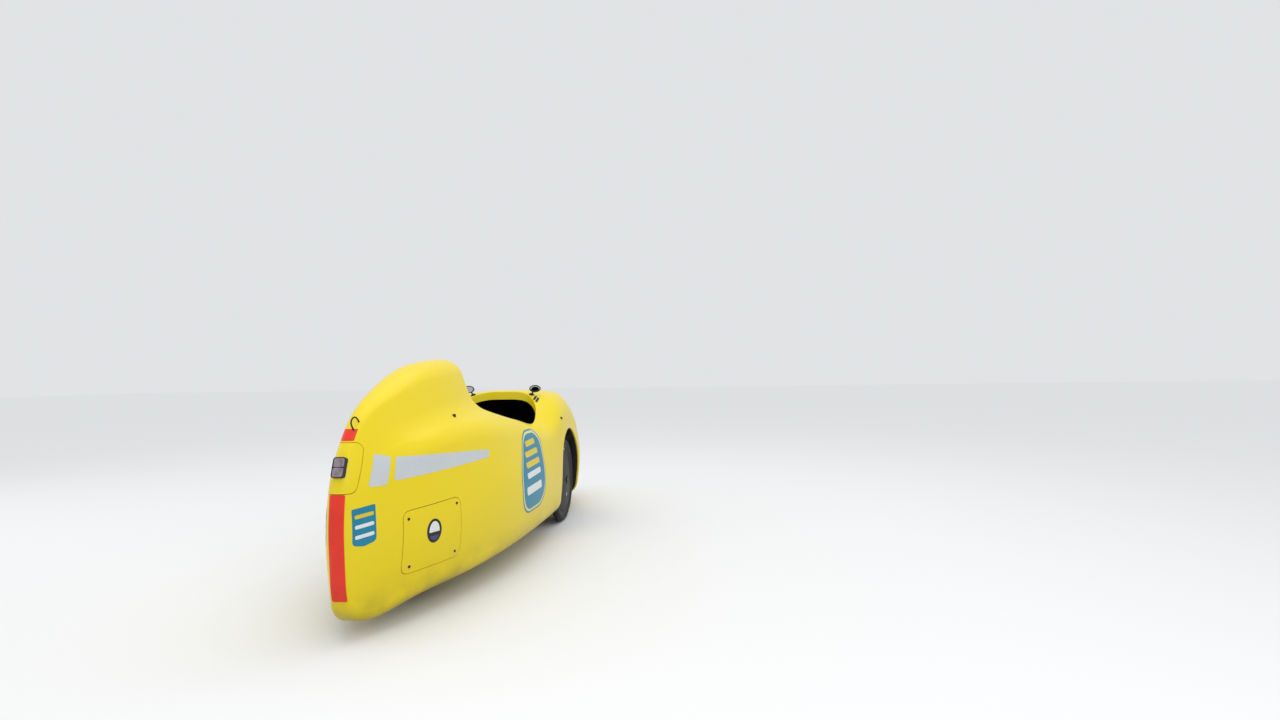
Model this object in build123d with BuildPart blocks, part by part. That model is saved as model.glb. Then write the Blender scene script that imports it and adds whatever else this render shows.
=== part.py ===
from build123d import *
import math
import os

# Velomobile: a three-wheeled recumbent cycle in a closed glass-fibre shell, real size.
# X points forward, Y to the rider's left, Z up. The origin is on the ground, midway along the shell.
os.makedirs("parts", exist_ok=True)

# Wheels and axles
front_axle_x = 440
rear_axle_x = -850
track_half = 315
front_radius = 240
rear_radius = 307
front_tyre_width = 42
rear_tyre_width = 30
front_rim_radius = 203
rear_rim_radius = 279
axle_radius = 6
bore_gap = 0.5

# Kingpins lean inward at the top, so that each axis meets the ground under its tyre
kingpin_slope = 55 / front_radius
steer_arm = 60
tie_rod_z = 150

# Shell
skin = 4
tail_x = -1367
nose_x = 1367
waist_z = 400
shell_split_x = -60

# Wheel arches and wheel boxes
arch_radius = 275
arch_z = 268
box_wall_y = 162
box_skin = 3
past_side = 460

# Rider's station and drive
crank_x = 880
crank_z = 355
crank_length = 155
chainring_radius = 98
sprocket_radius = 38
chain_y = -45
chain_width = 6
chain_height = 7
seat_half = 155
swing_pivot_x = -500
swing_pivot_z = 270


def kingpin_y(z):
    """Distance of the kingpin axis from the middle plane at a height."""
    return track_half - kingpin_slope * z


# Shell sections from tail to nose, one half of each. Columns: x, then height and half width
# of five corners: bottom, widest, shoulder, foot of the hump, crown.
shell_rows = (
    (-1367, 280, 14, 350, 24, 400, 23, 440, 17, 458, 8),
    (-1345, 138, 30, 300, 48, 430, 46, 530, 32, 572, 14),
    (-1270, 58, 62, 290, 92, 520, 80, 622, 50, 700, 22),
    (-1110, 64, 145, 300, 184, 600, 148, 668, 92, 806, 42),
    (-880, 78, 238, 320, 275, 640, 218, 700, 135, 892, 66),
    (-640, 88, 306, 340, 337, 650, 264, 716, 150, 926, 78),
    (-430, 95, 340, 345, 366, 640, 285, 722, 140, 905, 76),
    (-150, 98, 358, 340, 382, 580, 325, 640, 225, 700, 100),
    (100, 98, 365, 340, 388, 560, 348, 622, 252, 680, 110),
    (300, 98, 366, 345, 389, 640, 354, 712, 272, 752, 120),
    (550, 100, 360, 350, 386, 665, 342, 752, 270, 768, 120),
    (850, 106, 325, 355, 356, 600, 314, 738, 190, 752, 90),
    (1100, 126, 240, 355, 284, 560, 240, 672, 140, 690, 60),
    (1275, 180, 125, 350, 172, 480, 145, 562, 90, 578, 38),
    (1345, 255, 50, 345, 74, 400, 66, 440, 42, 448, 16),
    (1367, 318, 12, 345, 22, 360, 20, 372, 14, 375, 5),
)
# Share of the shorter run that each corner's rounding takes
shell_softness = (0.30, 0.46, 0.46, 0.46, 0.46)


def corner_radii(points, softness):
    """Radius at each corner of a closed outline that rounds off a share of the shorter run."""
    radii = []
    for i, point in enumerate(points):
        before = points[i - 1]
        after = points[(i + 1) % len(points)]
        heading_in = math.atan2(point[1] - before[1], point[0] - before[0])
        heading_out = math.atan2(after[1] - point[1], after[0] - point[0])
        turn = abs((heading_out - heading_in + math.pi) % (2 * math.pi) - math.pi)
        shorter = min(math.dist(before, point), math.dist(point, after))
        radii.append(softness[i] * shorter / math.tan(turn / 2))
    return radii


def inset_outline(points, amount):
    """Move a closed outline inward by an amount, corner by corner."""
    moved = []
    for i, point in enumerate(points):
        before = points[i - 1]
        after = points[(i + 1) % len(points)]
        heading_in = math.atan2(point[1] - before[1], point[0] - before[0])
        heading_out = math.atan2(after[1] - point[1], after[0] - point[0])
        across = -math.sin(heading_in) - math.sin(heading_out)
        along = math.cos(heading_in) + math.cos(heading_out)
        scale = amount / (1 + math.cos(heading_out - heading_in))
        moved.append((point[0] + across * scale, point[1] + along * scale))
    return moved


def mirrored(half):
    """Close a half outline, given from the bottom up, with its mirror image."""
    return list(half) + [(-across, up) for across, up in reversed(half)]


def shell_solid(inset, rows=shell_rows):
    """The shell's outer form as one solid, moved inward by an inset."""
    softness = shell_softness + shell_softness[::-1]
    sections = []
    for row in rows:
        half = [(row[i + 1], row[i]) for i in range(1, 11, 2)]
        outline = inset_outline(mirrored(half), inset)
        x = max(tail_x + inset, min(nose_x - inset, row[0]))
        with BuildSketch(Plane(origin=(x, 0, 0), x_dir=(0, 1, 0), z_dir=(1, 0, 0))) as section:
            with BuildLine():
                FilletPolyline(*outline, radius=corner_radii(outline, softness), close=True)
            make_face()
        sections.append(section.sketch)
    with BuildPart() as form:
        loft(sections, ruled=True)
    return form.part


def side_prism(points, radius, y_from, y_to):
    """A rounded outline in the side view, drawn out across the shell."""
    with BuildPart() as prism:
        with BuildSketch(side_plane(0, y_from, 0)):
            with BuildLine():
                flipped = [(x, -z) for x, z in points]
                FilletPolyline(*flipped, radius=radius, close=True)
            make_face()
        extrude(amount=y_to - y_from)
    return prism.part


def side_plane(x, y, z):
    """Plane at a point that looks along Y: its first axis is X, its second runs down."""
    return Plane(origin=(x, y, z), x_dir=(1, 0, 0), z_dir=(0, 1, 0))


def save(piece, label):
    """Name a finished piece and write it as one node."""
    piece.label = label
    export_step(piece, f"parts/{label}.step")


def both_sides(part):
    """Left piece as built and its mirror image on the right."""
    return (("left", part), ("right", part.mirror(Plane.XZ)))


# Forms shared by the shell's pieces
outer_form = shell_solid(0)
inner_form = shell_solid(skin)

# Cockpit opening in plan: half outline from the hump forward to the front deck
opening_half = [(-552, 153), (-385, 245), (60, 262), (235, 228), (362, 118)]
opening_softness = (0.25, 0.46, 0.46, 0.46, 0.46)
rim_width = 5
rim_depth = 30
opening_floor = 480
opening_reach = 600


def opening_prism(inset):
    """The cockpit opening drawn up through the decks, made narrower by an inset."""
    half = [(y, x) for x, y in opening_half]
    outline = [(x, -y) for y, x in mirrored(half)]
    outline = inset_outline(outline, inset)
    softness = opening_softness + opening_softness[::-1]
    with BuildPart() as prism:
        with BuildSketch(Plane.XY.offset(opening_floor)):
            with BuildLine():
                FilletPolyline(*outline, radius=corner_radii(outline, softness), close=True)
            make_face()
        extrude(amount=opening_reach)
    return prism.part


# Wheel arch outline in the side view, open at the bottom
def arch_prism(grow, y_from, y_to):
    """The space of one front wheel arch."""
    radius = arch_radius + grow
    with BuildPart() as arch:
        with BuildSketch(side_plane(0, y_from, 0)):
            with Locations((front_axle_x, -arch_z)):
                Circle(radius)
            with Locations((front_axle_x, -arch_z / 2 + 50)):
                Rectangle(2 * radius, arch_z + 100)
        extrude(amount=y_to - y_from)
    return arch.part


# Openings of the shell, in the side view, and the gap round the panels that fill them
panel_gap = 1
hatch_points = [(-1190, 180), (-951, 186), (-951, 404), (-1188, 392)]
hatch_radius = 25
cap_points = [(-1420, 485), (-1335, 485), (-1274, 640), (-1420, 640)]
cap_radius = 20
cap_half = 200

# Rear light in the tail cap
light_x = -1345
light_z = 565
light_width = 42
light_height = 66
light_depth = 26
light_sunk = 14
light_corner = 9
light_edge = 2.5
light_tilt = 17

# Headlight port in the nose
port_x = 1150
port_z = 455
port_width = 150
port_height = 56
port_reach = 300

# Slot for the rear wheel in the floor
slot_half = 42
slot_rear = -1085
slot_front = -455
slot_height = 130

lamp_normal = Vector(-math.cos(math.radians(light_tilt)), 0, math.sin(math.radians(light_tilt)))
lamp_plane = Plane(origin=(light_x, 0, light_z), x_dir=(0, -1, 0), z_dir=lamp_normal)

with BuildPart() as rear_light:
    with BuildSketch(lamp_plane.offset(-light_sunk)):
        RectangleRounded(light_width, light_height, light_corner)
    extrude(amount=light_depth)
    fillet(rear_light.faces().sort_by(Axis.X)[0].edges(), light_edge)

port_plane = Plane(origin=(port_x, 0, port_z), x_dir=(0, 1, 0), z_dir=(1, 0, 0))
with BuildPart() as headlight_port:
    with BuildSketch(port_plane):
        SlotOverall(port_width, port_height)
    extrude(amount=port_reach)

with BuildPart() as headlight_port_grown:
    with BuildSketch(port_plane):
        SlotOverall(port_width + 2 * panel_gap, port_height + 2 * panel_gap)
    extrude(amount=port_reach)

with BuildPart() as wheel_slot:
    with BuildSketch(Plane.XY):
        with Locations(((slot_rear + slot_front) / 2, 0)):
            SlotOverall(slot_front - slot_rear, 2 * slot_half)
    extrude(amount=slot_height)

hatch_hole = inset_outline(hatch_points, -panel_gap)
hatch_cut = side_prism(hatch_hole, hatch_radius + panel_gap, -past_side, 0)
cap_hole = inset_outline(cap_points, -panel_gap)
cap_cut = side_prism(cap_hole, cap_radius + panel_gap, -cap_half, cap_half)

# Shell
with BuildPart() as whole_skin:
    add(outer_form)
    add(inner_form, mode=Mode.SUBTRACT)

with BuildPart() as shell:
    add(whole_skin.part)
    add(opening_prism(0), mode=Mode.SUBTRACT)
    add(arch_prism(0, box_wall_y + box_skin, past_side), mode=Mode.SUBTRACT)
    add(arch_prism(0, -past_side, -box_wall_y - box_skin), mode=Mode.SUBTRACT)
    add(wheel_slot.part, mode=Mode.SUBTRACT)
    add(hatch_cut, mode=Mode.SUBTRACT)
    add(cap_cut, mode=Mode.SUBTRACT)
    add(headlight_port_grown.part, mode=Mode.SUBTRACT)

with BuildPart() as lower_shell:
    add(shell.part)
    split(bisect_by=Plane.XY.offset(waist_z), keep=Keep.BOTTOM)

with BuildPart() as upper_shell:
    add(shell.part)
    split(bisect_by=Plane.XY.offset(waist_z), keep=Keep.TOP)

with BuildPart() as front_deck:
    add(upper_shell.part)
    split(bisect_by=Plane.YZ.offset(shell_split_x), keep=Keep.TOP)

with BuildPart() as tail_deck:
    add(upper_shell.part)
    split(bisect_by=Plane.YZ.offset(shell_split_x), keep=Keep.BOTTOM)

save(lower_shell.part, "lower_shell")
save(front_deck.part, "front_deck")
save(tail_deck.part, "tail_deck")

# Panels set into the shell
with BuildPart() as service_hatch:
    add(whole_skin.part)
    add(side_prism(hatch_points, hatch_radius, -past_side, 0), mode=Mode.INTERSECT)
save(service_hatch.part, "service_hatch")

with BuildPart() as tail_cap:
    add(whole_skin.part)
    add(side_prism(cap_points, cap_radius, -cap_half, cap_half), mode=Mode.INTERSECT)
    add(rear_light.part, mode=Mode.SUBTRACT)
save(tail_cap.part, "tail_cap")
save(rear_light.part, "rear_light")

with BuildPart() as headlight_lens:
    add(whole_skin.part)
    add(headlight_port.part, mode=Mode.INTERSECT)
save(headlight_lens.part, "headlight_lens")

# Turned-down rim of the cockpit opening
rim_form = shell_solid(rim_depth, shell_rows[4:12])
with BuildPart() as cockpit_rim:
    add(opening_prism(0))
    add(opening_prism(rim_width), mode=Mode.SUBTRACT)
    add(outer_form, mode=Mode.INTERSECT)
    add(rim_form, mode=Mode.SUBTRACT)
save(cockpit_rim.part, "cockpit_rim")

# Red reflectors on the tail edge. Columns: name, lower and upper height, half width
reflector_rows = (("tail_reflector", 146, 483, 25), ("upper_reflector", 646, 682, 22))
tape_thick = 1.5
tape_corner = 4
behind_x = -1450
tape_reach = 200
tape_form = outer_form.moved(Location((-tape_thick, 0, 0)))
for label, z_low, z_high, half_width in reflector_rows:
    with BuildPart() as reflector:
        with BuildSketch(Plane(origin=(behind_x, 0, 0), x_dir=(0, 1, 0), z_dir=(1, 0, 0))):
            with Locations((0, (z_low + z_high) / 2)):
                RectangleRounded(2 * half_width, z_high - z_low, tape_corner)
        extrude(amount=tape_reach)
        add(tape_form, mode=Mode.INTERSECT)
        add(outer_form, mode=Mode.SUBTRACT)
    save(reflector.part, label)

# Wheel boxes close the front arches off from the cockpit, with a slot for the tie rod
rod_slot_length = 70
rod_slot_height = 44
with BuildPart() as wheel_box:
    add(arch_prism(box_skin, box_wall_y, past_side))
    add(arch_prism(0, box_wall_y + box_skin, past_side), mode=Mode.SUBTRACT)
    add(inner_form, mode=Mode.INTERSECT)
    with BuildSketch(side_plane(0, box_wall_y - box_skin, 0)):
        with Locations((front_axle_x + steer_arm, -tie_rod_z)):
            SlotOverall(rod_slot_length, rod_slot_height)
    extrude(amount=4 * box_skin, mode=Mode.SUBTRACT)
for side, piece in both_sides(wheel_box.part):
    save(piece, f"wheel_box_{side}")

# Axle bridge between the wheel boxes, with the steering head in its middle
bridge_z = 200
bridge_radius = 15
head_radius = 17
head_foot = 168
head_length = 70
shaft_radius = 8
with BuildPart() as axle_bridge:
    with BuildSketch(side_plane(front_axle_x, -box_wall_y, bridge_z)):
        Circle(bridge_radius)
    extrude(amount=2 * box_wall_y)
    with BuildSketch(Plane.XY.offset(head_foot)):
        with Locations((front_axle_x, 0)):
            Circle(head_radius)
    extrude(amount=head_length)
    with BuildSketch(Plane.XY.offset(head_foot)):
        with Locations((front_axle_x, 0)):
            Circle(shaft_radius + bore_gap)
    extrude(amount=head_length, mode=Mode.SUBTRACT)
save(axle_bridge.part, "axle_bridge")

# Lower control arms from the wheel boxes out to the kingpin ball
ball_z = 128
arm_inner_y = box_wall_y + box_skin
arm_tip_y = kingpin_y(ball_z)
arm_thick = 10
arm_foot_out = 55
arm_foot_in = 35
arm_crotch = 40
arm_tip_half = 7
arm_eye_set = 6
with BuildPart() as control_arm:
    with BuildSketch(Plane.XY.offset(ball_z - arm_thick / 2)):
        with BuildLine():
            Polyline(
                (front_axle_x - arm_foot_out, arm_inner_y),
                (front_axle_x - arm_foot_in, arm_inner_y),
                (front_axle_x, arm_tip_y - arm_crotch),
                (front_axle_x + arm_foot_in, arm_inner_y),
                (front_axle_x + arm_foot_out, arm_inner_y),
                (front_axle_x + arm_tip_half, arm_tip_y - arm_eye_set),
                (front_axle_x - arm_tip_half, arm_tip_y - arm_eye_set),
                close=True,
            )
        make_face()
        with Locations((front_axle_x, arm_tip_y - arm_eye_set)):
            Circle(arm_thick)
    extrude(amount=arm_thick)
for side, piece in both_sides(control_arm.part):
    save(piece, f"control_arm_{side}")

# Kingpin axis as a plane whose normal runs up the left strut
kingpin_foot = Vector(front_axle_x, track_half, 0)
kingpin_axis = Vector(0, -kingpin_slope, 1).normalized()
strut_top_z = 536
strut_tube_top = 434
strut_tube_foot = 275
strut_rod_radius = 7
strut_cap_radius = 26
strut_cap_drop = 6
strut_cap_reach = 30

# Knuckle: radii of its ball pin, upright and strut tube
ball_pin_radius = 6
ball_pin_foot = ball_z + 7
upright_radius = 12
upright_foot = ball_z + 14
strut_tube_radius = 18

# Along the front axle: boss and brake plate inside the wheel, nut outside it
boss_y = 250
boss_radius = 20
brake_y = 284
brake_plate = 3
brake_radius = 45
nut_y = 342
nut_thick = 7
nut_radius = 10
axle_overlap = 4
axle_stub = 2

# Steering arm: a flat bar with the tie rod's pin under its end
steer_bar_width = 15
steer_bar_thick = 7
steer_bar_lift = 14
steer_bar_round = 16
rod_pin_radius = 3.5
rod_pin_length = 20
rod_pin_drop = 5


def kingpin_plane(z):
    """Plane square to the left kingpin axis, where the axis reaches a height."""
    origin = (front_axle_x, kingpin_y(z), z)
    return Plane(origin=origin, x_dir=(1, 0, 0), z_dir=kingpin_axis)


with BuildPart() as strut_rod:
    with BuildSketch(kingpin_plane(strut_tube_top + 2)):
        Circle(strut_rod_radius)
    extrude(amount=(strut_top_z - strut_tube_top) / kingpin_axis.Z)
    with BuildSketch(kingpin_plane(strut_top_z - strut_cap_drop)):
        Circle(strut_cap_radius)
    extrude(amount=strut_cap_reach)
    add(arch_prism(0, box_wall_y + box_skin, past_side), mode=Mode.INTERSECT)
for side, piece in both_sides(strut_rod.part):
    save(piece, f"strut_rod_{side}")

# Knuckle: strut tube, upright, stub axle, brake plate and steering arm in one piece
pin_y = kingpin_y(tie_rod_z)
with BuildPart() as knuckle:
    with BuildSketch(kingpin_plane(ball_pin_foot)):
        Circle(ball_pin_radius)
    extrude(amount=2 * ball_pin_radius)
    with BuildSketch(kingpin_plane(upright_foot)):
        Circle(upright_radius)
    extrude(amount=(strut_tube_foot + upright_radius - upright_foot) / kingpin_axis.Z)
    with BuildSketch(kingpin_plane(strut_tube_foot)):
        Circle(strut_tube_radius)
    extrude(amount=(strut_tube_top - strut_tube_foot) / kingpin_axis.Z)
    with BuildSketch(side_plane(front_axle_x, boss_y, front_radius)):
        Circle(boss_radius)
    extrude(amount=brake_y - boss_y)
    with BuildSketch(side_plane(front_axle_x, brake_y, front_radius)):
        Circle(brake_radius)
    extrude(amount=brake_plate)
    with BuildSketch(side_plane(front_axle_x, brake_y - axle_overlap, front_radius)):
        Circle(axle_radius)
    extrude(amount=nut_y + axle_stub - brake_y + axle_overlap)
    with BuildSketch(side_plane(front_axle_x, nut_y, front_radius)):
        RegularPolygon(nut_radius, 6)
    extrude(amount=nut_thick)
    with BuildSketch(Plane.XY.offset(tie_rod_z + steer_bar_lift)):
        with Locations((front_axle_x + steer_arm / 2, pin_y)):
            SlotOverall(steer_arm + steer_bar_round, steer_bar_width)
    extrude(amount=steer_bar_thick)
    with BuildSketch(Plane.XY.offset(tie_rod_z - rod_pin_drop)):
        with Locations((front_axle_x + steer_arm, pin_y)):
            Circle(rod_pin_radius)
    extrude(amount=rod_pin_length)
for side, piece in both_sides(knuckle.part):
    save(piece, f"knuckle_{side}")


def wheel_profile_revolve(points, centre_x, centre_y, centre_z):
    """Turn a closed outline of radius and offset about a wheel axle that lies along Y."""
    with BuildPart() as turned:
        with BuildSketch(Plane(origin=(centre_x, centre_y, centre_z), x_dir=(0, 0, 1), z_dir=(-1, 0, 0))):
            with BuildLine():
                Polyline(*points, close=True)
            make_face()
        revolve(axis=Axis((centre_x, centre_y, centre_z), (0, 1, 0)))
    return turned.part


def tyre_revolve(radius, rim_radius, width, centre):
    """A tyre: a round tread section that sits on its rim."""
    section_radius = width / 2
    middle = radius - section_radius
    with BuildPart() as turned:
        with BuildSketch(Plane(origin=centre, x_dir=(0, 0, 1), z_dir=(-1, 0, 0))):
            with Locations((middle, 0)):
                Circle(section_radius)
            with Locations((rim_radius / 2, 0)):
                Rectangle(rim_radius, width + 4, mode=Mode.SUBTRACT)
        revolve(axis=Axis(centre, (0, 1, 0)))
    return turned.part


# Front wheels: a tyre, and a rim closed by smooth covers around the drum hub
disc_outline = [
    (axle_radius + bore_gap, -25),
    (46, -25),
    (50, -20),
    (196, -14),
    (front_rim_radius, -14),
    (front_rim_radius, 14),
    (196, 14),
    (60, 27),
    (28, 30),
    (24, 26),
    (axle_radius + bore_gap, 26),
]
front_centre = (front_axle_x, track_half, front_radius)
front_tyre = tyre_revolve(front_radius, front_rim_radius, front_tyre_width, front_centre)
wheel_disc = wheel_profile_revolve(disc_outline, *front_centre)
for side, piece in both_sides(front_tyre):
    save(piece, f"front_tyre_{side}")
for side, piece in both_sides(wheel_disc):
    save(piece, f"wheel_disc_{side}")

# Rear wheel
rear_centre = (rear_axle_x, 0, rear_radius)
rear_tyre = tyre_revolve(rear_radius, rear_rim_radius, rear_tyre_width, rear_centre)
save(rear_tyre, "rear_tyre")

rim_outline = [
    (262, -8),
    (270, -11),
    (rear_rim_radius, -11),
    (rear_rim_radius, 11),
    (270, 11),
    (262, 8),
]
hub_outline = [
    (axle_radius + bore_gap, -24),
    (30, -24),
    (30, -20),
    (16, -17),
    (16, 26),
    (28, 29),
    (28, 33),
    (axle_radius + bore_gap, 33),
]
spoke_count = 12
with BuildPart() as rear_rim:
    add(wheel_profile_revolve(rim_outline, *rear_centre))
    add(wheel_profile_revolve(hub_outline, *rear_centre))
    for i in range(spoke_count):
        angle = 2 * math.pi * i / spoke_count
        lean = 31 if i % 2 else -22
        start = Vector(rear_axle_x + 24 * math.cos(angle), lean, rear_radius + 24 * math.sin(angle))
        end = Vector(rear_axle_x + 265 * math.cos(angle), 0, rear_radius + 265 * math.sin(angle))
        with BuildSketch(Plane(origin=start, z_dir=end - start)):
            Circle(1.5)
        extrude(amount=(end - start).length)
save(rear_rim.part, "rear_rim")

# Sprockets beside the rear hub: radius and offset steps from the smallest outward to the wheel
sprocket_outline = [
    (axle_radius + bore_gap, -58),
    (28, -58),
    (28, -52),
    (sprocket_radius, -52),
    (sprocket_radius, -38),
    (50, -38),
    (50, -32),
    (60, -32),
    (60, -26),
    (axle_radius + bore_gap, -26),
]
save(wheel_profile_revolve(sprocket_outline, *rear_centre), "rear_sprockets")

# Rear swingarm: pivot tube, two arms and the axle between them
box_half = 95
box_room = box_half - box_skin
swing_y = 68
swing_thick = 10
swing_end = 18
swing_end_half = 12
swing_root_half = 26
swing_root_reach = 20
pivot_radius = 16
lug_width = 22
lug_height = 68
lug_foot = 14
lug_head = 24
with BuildPart() as rear_swingarm:
    for sign in (-1, 1):
        swing_side = sign * swing_y - swing_thick / 2
        with BuildSketch(side_plane(0, swing_side, 0)):
            with BuildLine():
                Polyline(
                    (rear_axle_x - swing_end, -rear_radius + swing_end_half),
                    (rear_axle_x - swing_end, -rear_radius - swing_end_half),
                    (swing_pivot_x, -swing_pivot_z - swing_root_half),
                    (swing_pivot_x + swing_root_reach, -swing_pivot_z),
                    (swing_pivot_x, -swing_pivot_z + swing_root_half),
                    close=True,
                )
            make_face()
        extrude(amount=swing_thick)
    with BuildSketch(side_plane(swing_pivot_x, -box_room, swing_pivot_z)):
        Circle(pivot_radius)
    extrude(amount=2 * box_room)
    with BuildSketch(side_plane(rear_axle_x, -swing_y, rear_radius)):
        Circle(axle_radius)
    extrude(amount=2 * swing_y)
    with BuildSketch(side_plane(0, -lug_width / 2, 0)):
        with BuildLine():
            Polyline(
                (swing_pivot_x - lug_foot, -swing_pivot_z),
                (swing_pivot_x, -swing_pivot_z - lug_height),
                (swing_pivot_x + lug_head, -swing_pivot_z - lug_height),
                (swing_pivot_x + lug_foot, -swing_pivot_z),
                close=True,
            )
        make_face()
    extrude(amount=lug_width)
save(rear_swingarm.part, "rear_swingarm")

# Rear wheel box and the spring strut under its roof
box_points = [(-1180, 40), (-1180, 430), (-1050, 648), (-640, 648), (-455, 420), (-455, 40)]
box_inner = [(-1177, 30), (-1177, 429), (-1048.5, 645), (-641.5, 645), (-458, 419), (-458, 30)]
box_corner = 20
chain_port_x = -480
chain_port_z = 145
chain_port_width = 36
chain_port_height = 70
chain_port_corner = 6
chain_port_depth = 50
with BuildPart() as rear_wheel_box:
    add(side_prism(box_points, box_corner, -box_half, box_half))
    add(side_prism(box_inner, box_corner - box_skin, -box_room, box_room), mode=Mode.SUBTRACT)
    add(inner_form, mode=Mode.INTERSECT)
    with BuildSketch(Plane(origin=(chain_port_x, 0, 0), x_dir=(0, 1, 0), z_dir=(1, 0, 0))):
        with Locations((chain_y, chain_port_z)):
            RectangleRounded(chain_port_width, chain_port_height, chain_port_corner)
    extrude(amount=chain_port_depth, mode=Mode.SUBTRACT)
save(rear_wheel_box.part, "rear_wheel_box")

shock_top = Vector(-640, 0, 615)
shock_foot = Vector(swing_pivot_x + 14, 0, swing_pivot_z + 66)
shock_plane = Plane(origin=shock_foot, z_dir=shock_top - shock_foot)
shock_length = (shock_top - shock_foot).length
shock_rod_radius = 9
shock_spring_radius = 18
shock_bare_foot = 30
shock_bare_top = 60
shock_bolt_radius = 7
with BuildPart() as rear_shock:
    with BuildSketch(shock_plane):
        Circle(shock_rod_radius)
    extrude(amount=shock_length)
    with BuildSketch(shock_plane.offset(shock_bare_foot)):
        Circle(shock_spring_radius)
    extrude(amount=shock_length - shock_bare_foot - shock_bare_top)
    with BuildSketch(side_plane(shock_top.X, -box_room, shock_top.Z)):
        Circle(shock_bolt_radius)
    extrude(amount=2 * box_room)
    add(rear_swingarm.part, mode=Mode.SUBTRACT)
save(rear_shock.part, "rear_shock")

# Seat: a thin bucket with raised sides, on two feet
seat_line = [(70, 182), (-60, 145), (-215, 165), (-330, 300), (-560, 600), (-600, 660)]
seat_depth = 42
seat_wall = 4
pad_thick = 30
pad_gap = 1
support_thick = 8
seat_foot_y = 110
seat_bracket_y = 55


def seat_band(low, high, half_width):
    """The seat's side line thickened between two heights above it, across a width."""
    offsets = []
    for amount in (low, high):
        closed = seat_line + [(-600, 3000), (70, 3000)]
        offsets.append(inset_outline(list(reversed(closed)), amount)[::-1][: len(seat_line)])
    outline = offsets[0] + offsets[1][::-1]
    with BuildPart() as band:
        with BuildSketch(side_plane(0, -half_width, 0)):
            with BuildLine():
                Polyline(*[(x, -z) for x, z in outline], close=True)
            make_face()
        extrude(amount=2 * half_width)
    return band.part


# Side outlines of the seat's feet, down to the floor, and of its brackets on the rear wheel box
seat_foot = [(-230, 80), (-230, 168), (-60, 147), (10, 165), (0, 80)]
seat_bracket = [(-500, 475.5), (-572, 564.2), (-548, 588), (-474, 491)]


def seat_support(points, y_from):
    """A plate under the seat, trimmed where it meets the floor."""
    with BuildPart() as plate:
        with BuildSketch(side_plane(0, y_from, 0)):
            with BuildLine():
                Polyline(*[(x, -z) for x, z in points], close=True)
            make_face()
        extrude(amount=support_thick)
        add(inner_form, mode=Mode.INTERSECT)
    return plate.part


with BuildPart() as seat_shell:
    add(seat_band(0, seat_depth, seat_half))
    add(seat_band(seat_wall, 2 * seat_depth, seat_half - seat_wall), mode=Mode.SUBTRACT)
    for outline, inner_y in ((seat_foot, seat_foot_y), (seat_bracket, seat_bracket_y)):
        add(seat_support(outline, inner_y))
        add(seat_support(outline, -inner_y - support_thick))
save(seat_shell.part, "seat_shell")

with BuildPart() as seat_pad:
    add(seat_band(seat_wall + pad_gap, pad_thick, seat_half - 2 * seat_wall))
save(seat_pad.part, "seat_pad")

# Mast for the bottom bracket, standing on the floor in the nose
mast_width = 22
mast_foot_z = 100
mast_foot_half = 90
mast_top_half = 20
bracket_half = 34
bracket_radius = 22
spindle_radius = 10
with BuildPart() as crank_mast:
    with BuildSketch(side_plane(0, -mast_width / 2, 0)):
        with BuildLine():
            Polyline(
                (crank_x - mast_foot_half, -mast_foot_z),
                (crank_x - mast_top_half, -crank_z),
                (crank_x + mast_top_half, -crank_z),
                (crank_x + mast_foot_half, -mast_foot_z),
                close=True,
            )
        make_face()
    extrude(amount=mast_width)
    add(inner_form, mode=Mode.INTERSECT)
    with BuildSketch(side_plane(crank_x, -bracket_half, crank_z)):
        Circle(bracket_radius)
    extrude(amount=2 * bracket_half)
    with BuildSketch(side_plane(crank_x, -bracket_half, crank_z)):
        Circle(spindle_radius + bore_gap)
    extrude(amount=2 * bracket_half, mode=Mode.SUBTRACT)
save(crank_mast.part, "crank_mast")

# Crankset: spindle, chainring and two arms in one piece, arms fore and aft
chainring_thick = 4
chainring_hole = 70
chainring_rim = 10
spider_width = 24
crank_inner_y = 52
crank_thick = 12
crank_width = 28
crank_outer_y = crank_inner_y + crank_thick
pedal_axle_radius = 5
pedal_axle_length = 96
with BuildPart() as crankset:
    with BuildSketch(side_plane(crank_x, -crank_inner_y - crank_thick / 2, crank_z)):
        Circle(spindle_radius)
    extrude(amount=2 * crank_inner_y + crank_thick)
    with BuildSketch(side_plane(crank_x, chain_y - chainring_thick / 2, crank_z)):
        Circle(chainring_radius)
        Circle(chainring_hole, mode=Mode.SUBTRACT)
        Rectangle(2 * (chainring_radius - chainring_rim), spider_width)
        Rectangle(spider_width, 2 * (chainring_radius - chainring_rim))
    extrude(amount=chainring_thick)
    for sign in (-1, 1):
        y_from = crank_inner_y if sign > 0 else -crank_outer_y
        with BuildSketch(side_plane(crank_x, y_from, crank_z)):
            with Locations((-sign * crank_length / 2, 0)):
                SlotOverall(crank_length + crank_width, crank_width)
        extrude(amount=crank_thick)
        axle_y = crank_outer_y if sign > 0 else -crank_outer_y - pedal_axle_length
        with BuildSketch(side_plane(crank_x - sign * crank_length, axle_y, crank_z)):
            Circle(pedal_axle_radius)
        extrude(amount=pedal_axle_length)
save(crankset.part, "crankset")

# Pedals turn on their axles
pedal_inner_y = 70
pedal_width = 88
pedal_long = 82
pedal_thick = 22
pedal_corner = 8
for side, sign in (("left", 1), ("right", -1)):
    y_from = pedal_inner_y if sign > 0 else -pedal_inner_y - pedal_width
    with BuildPart() as pedal:
        with BuildSketch(side_plane(crank_x - sign * crank_length, y_from, crank_z)):
            RectangleRounded(pedal_long, pedal_thick, pedal_corner)
            Circle(pedal_axle_radius + bore_gap, mode=Mode.SUBTRACT)
        extrude(amount=pedal_width)
    save(pedal.part, f"pedal_{side}")

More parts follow.
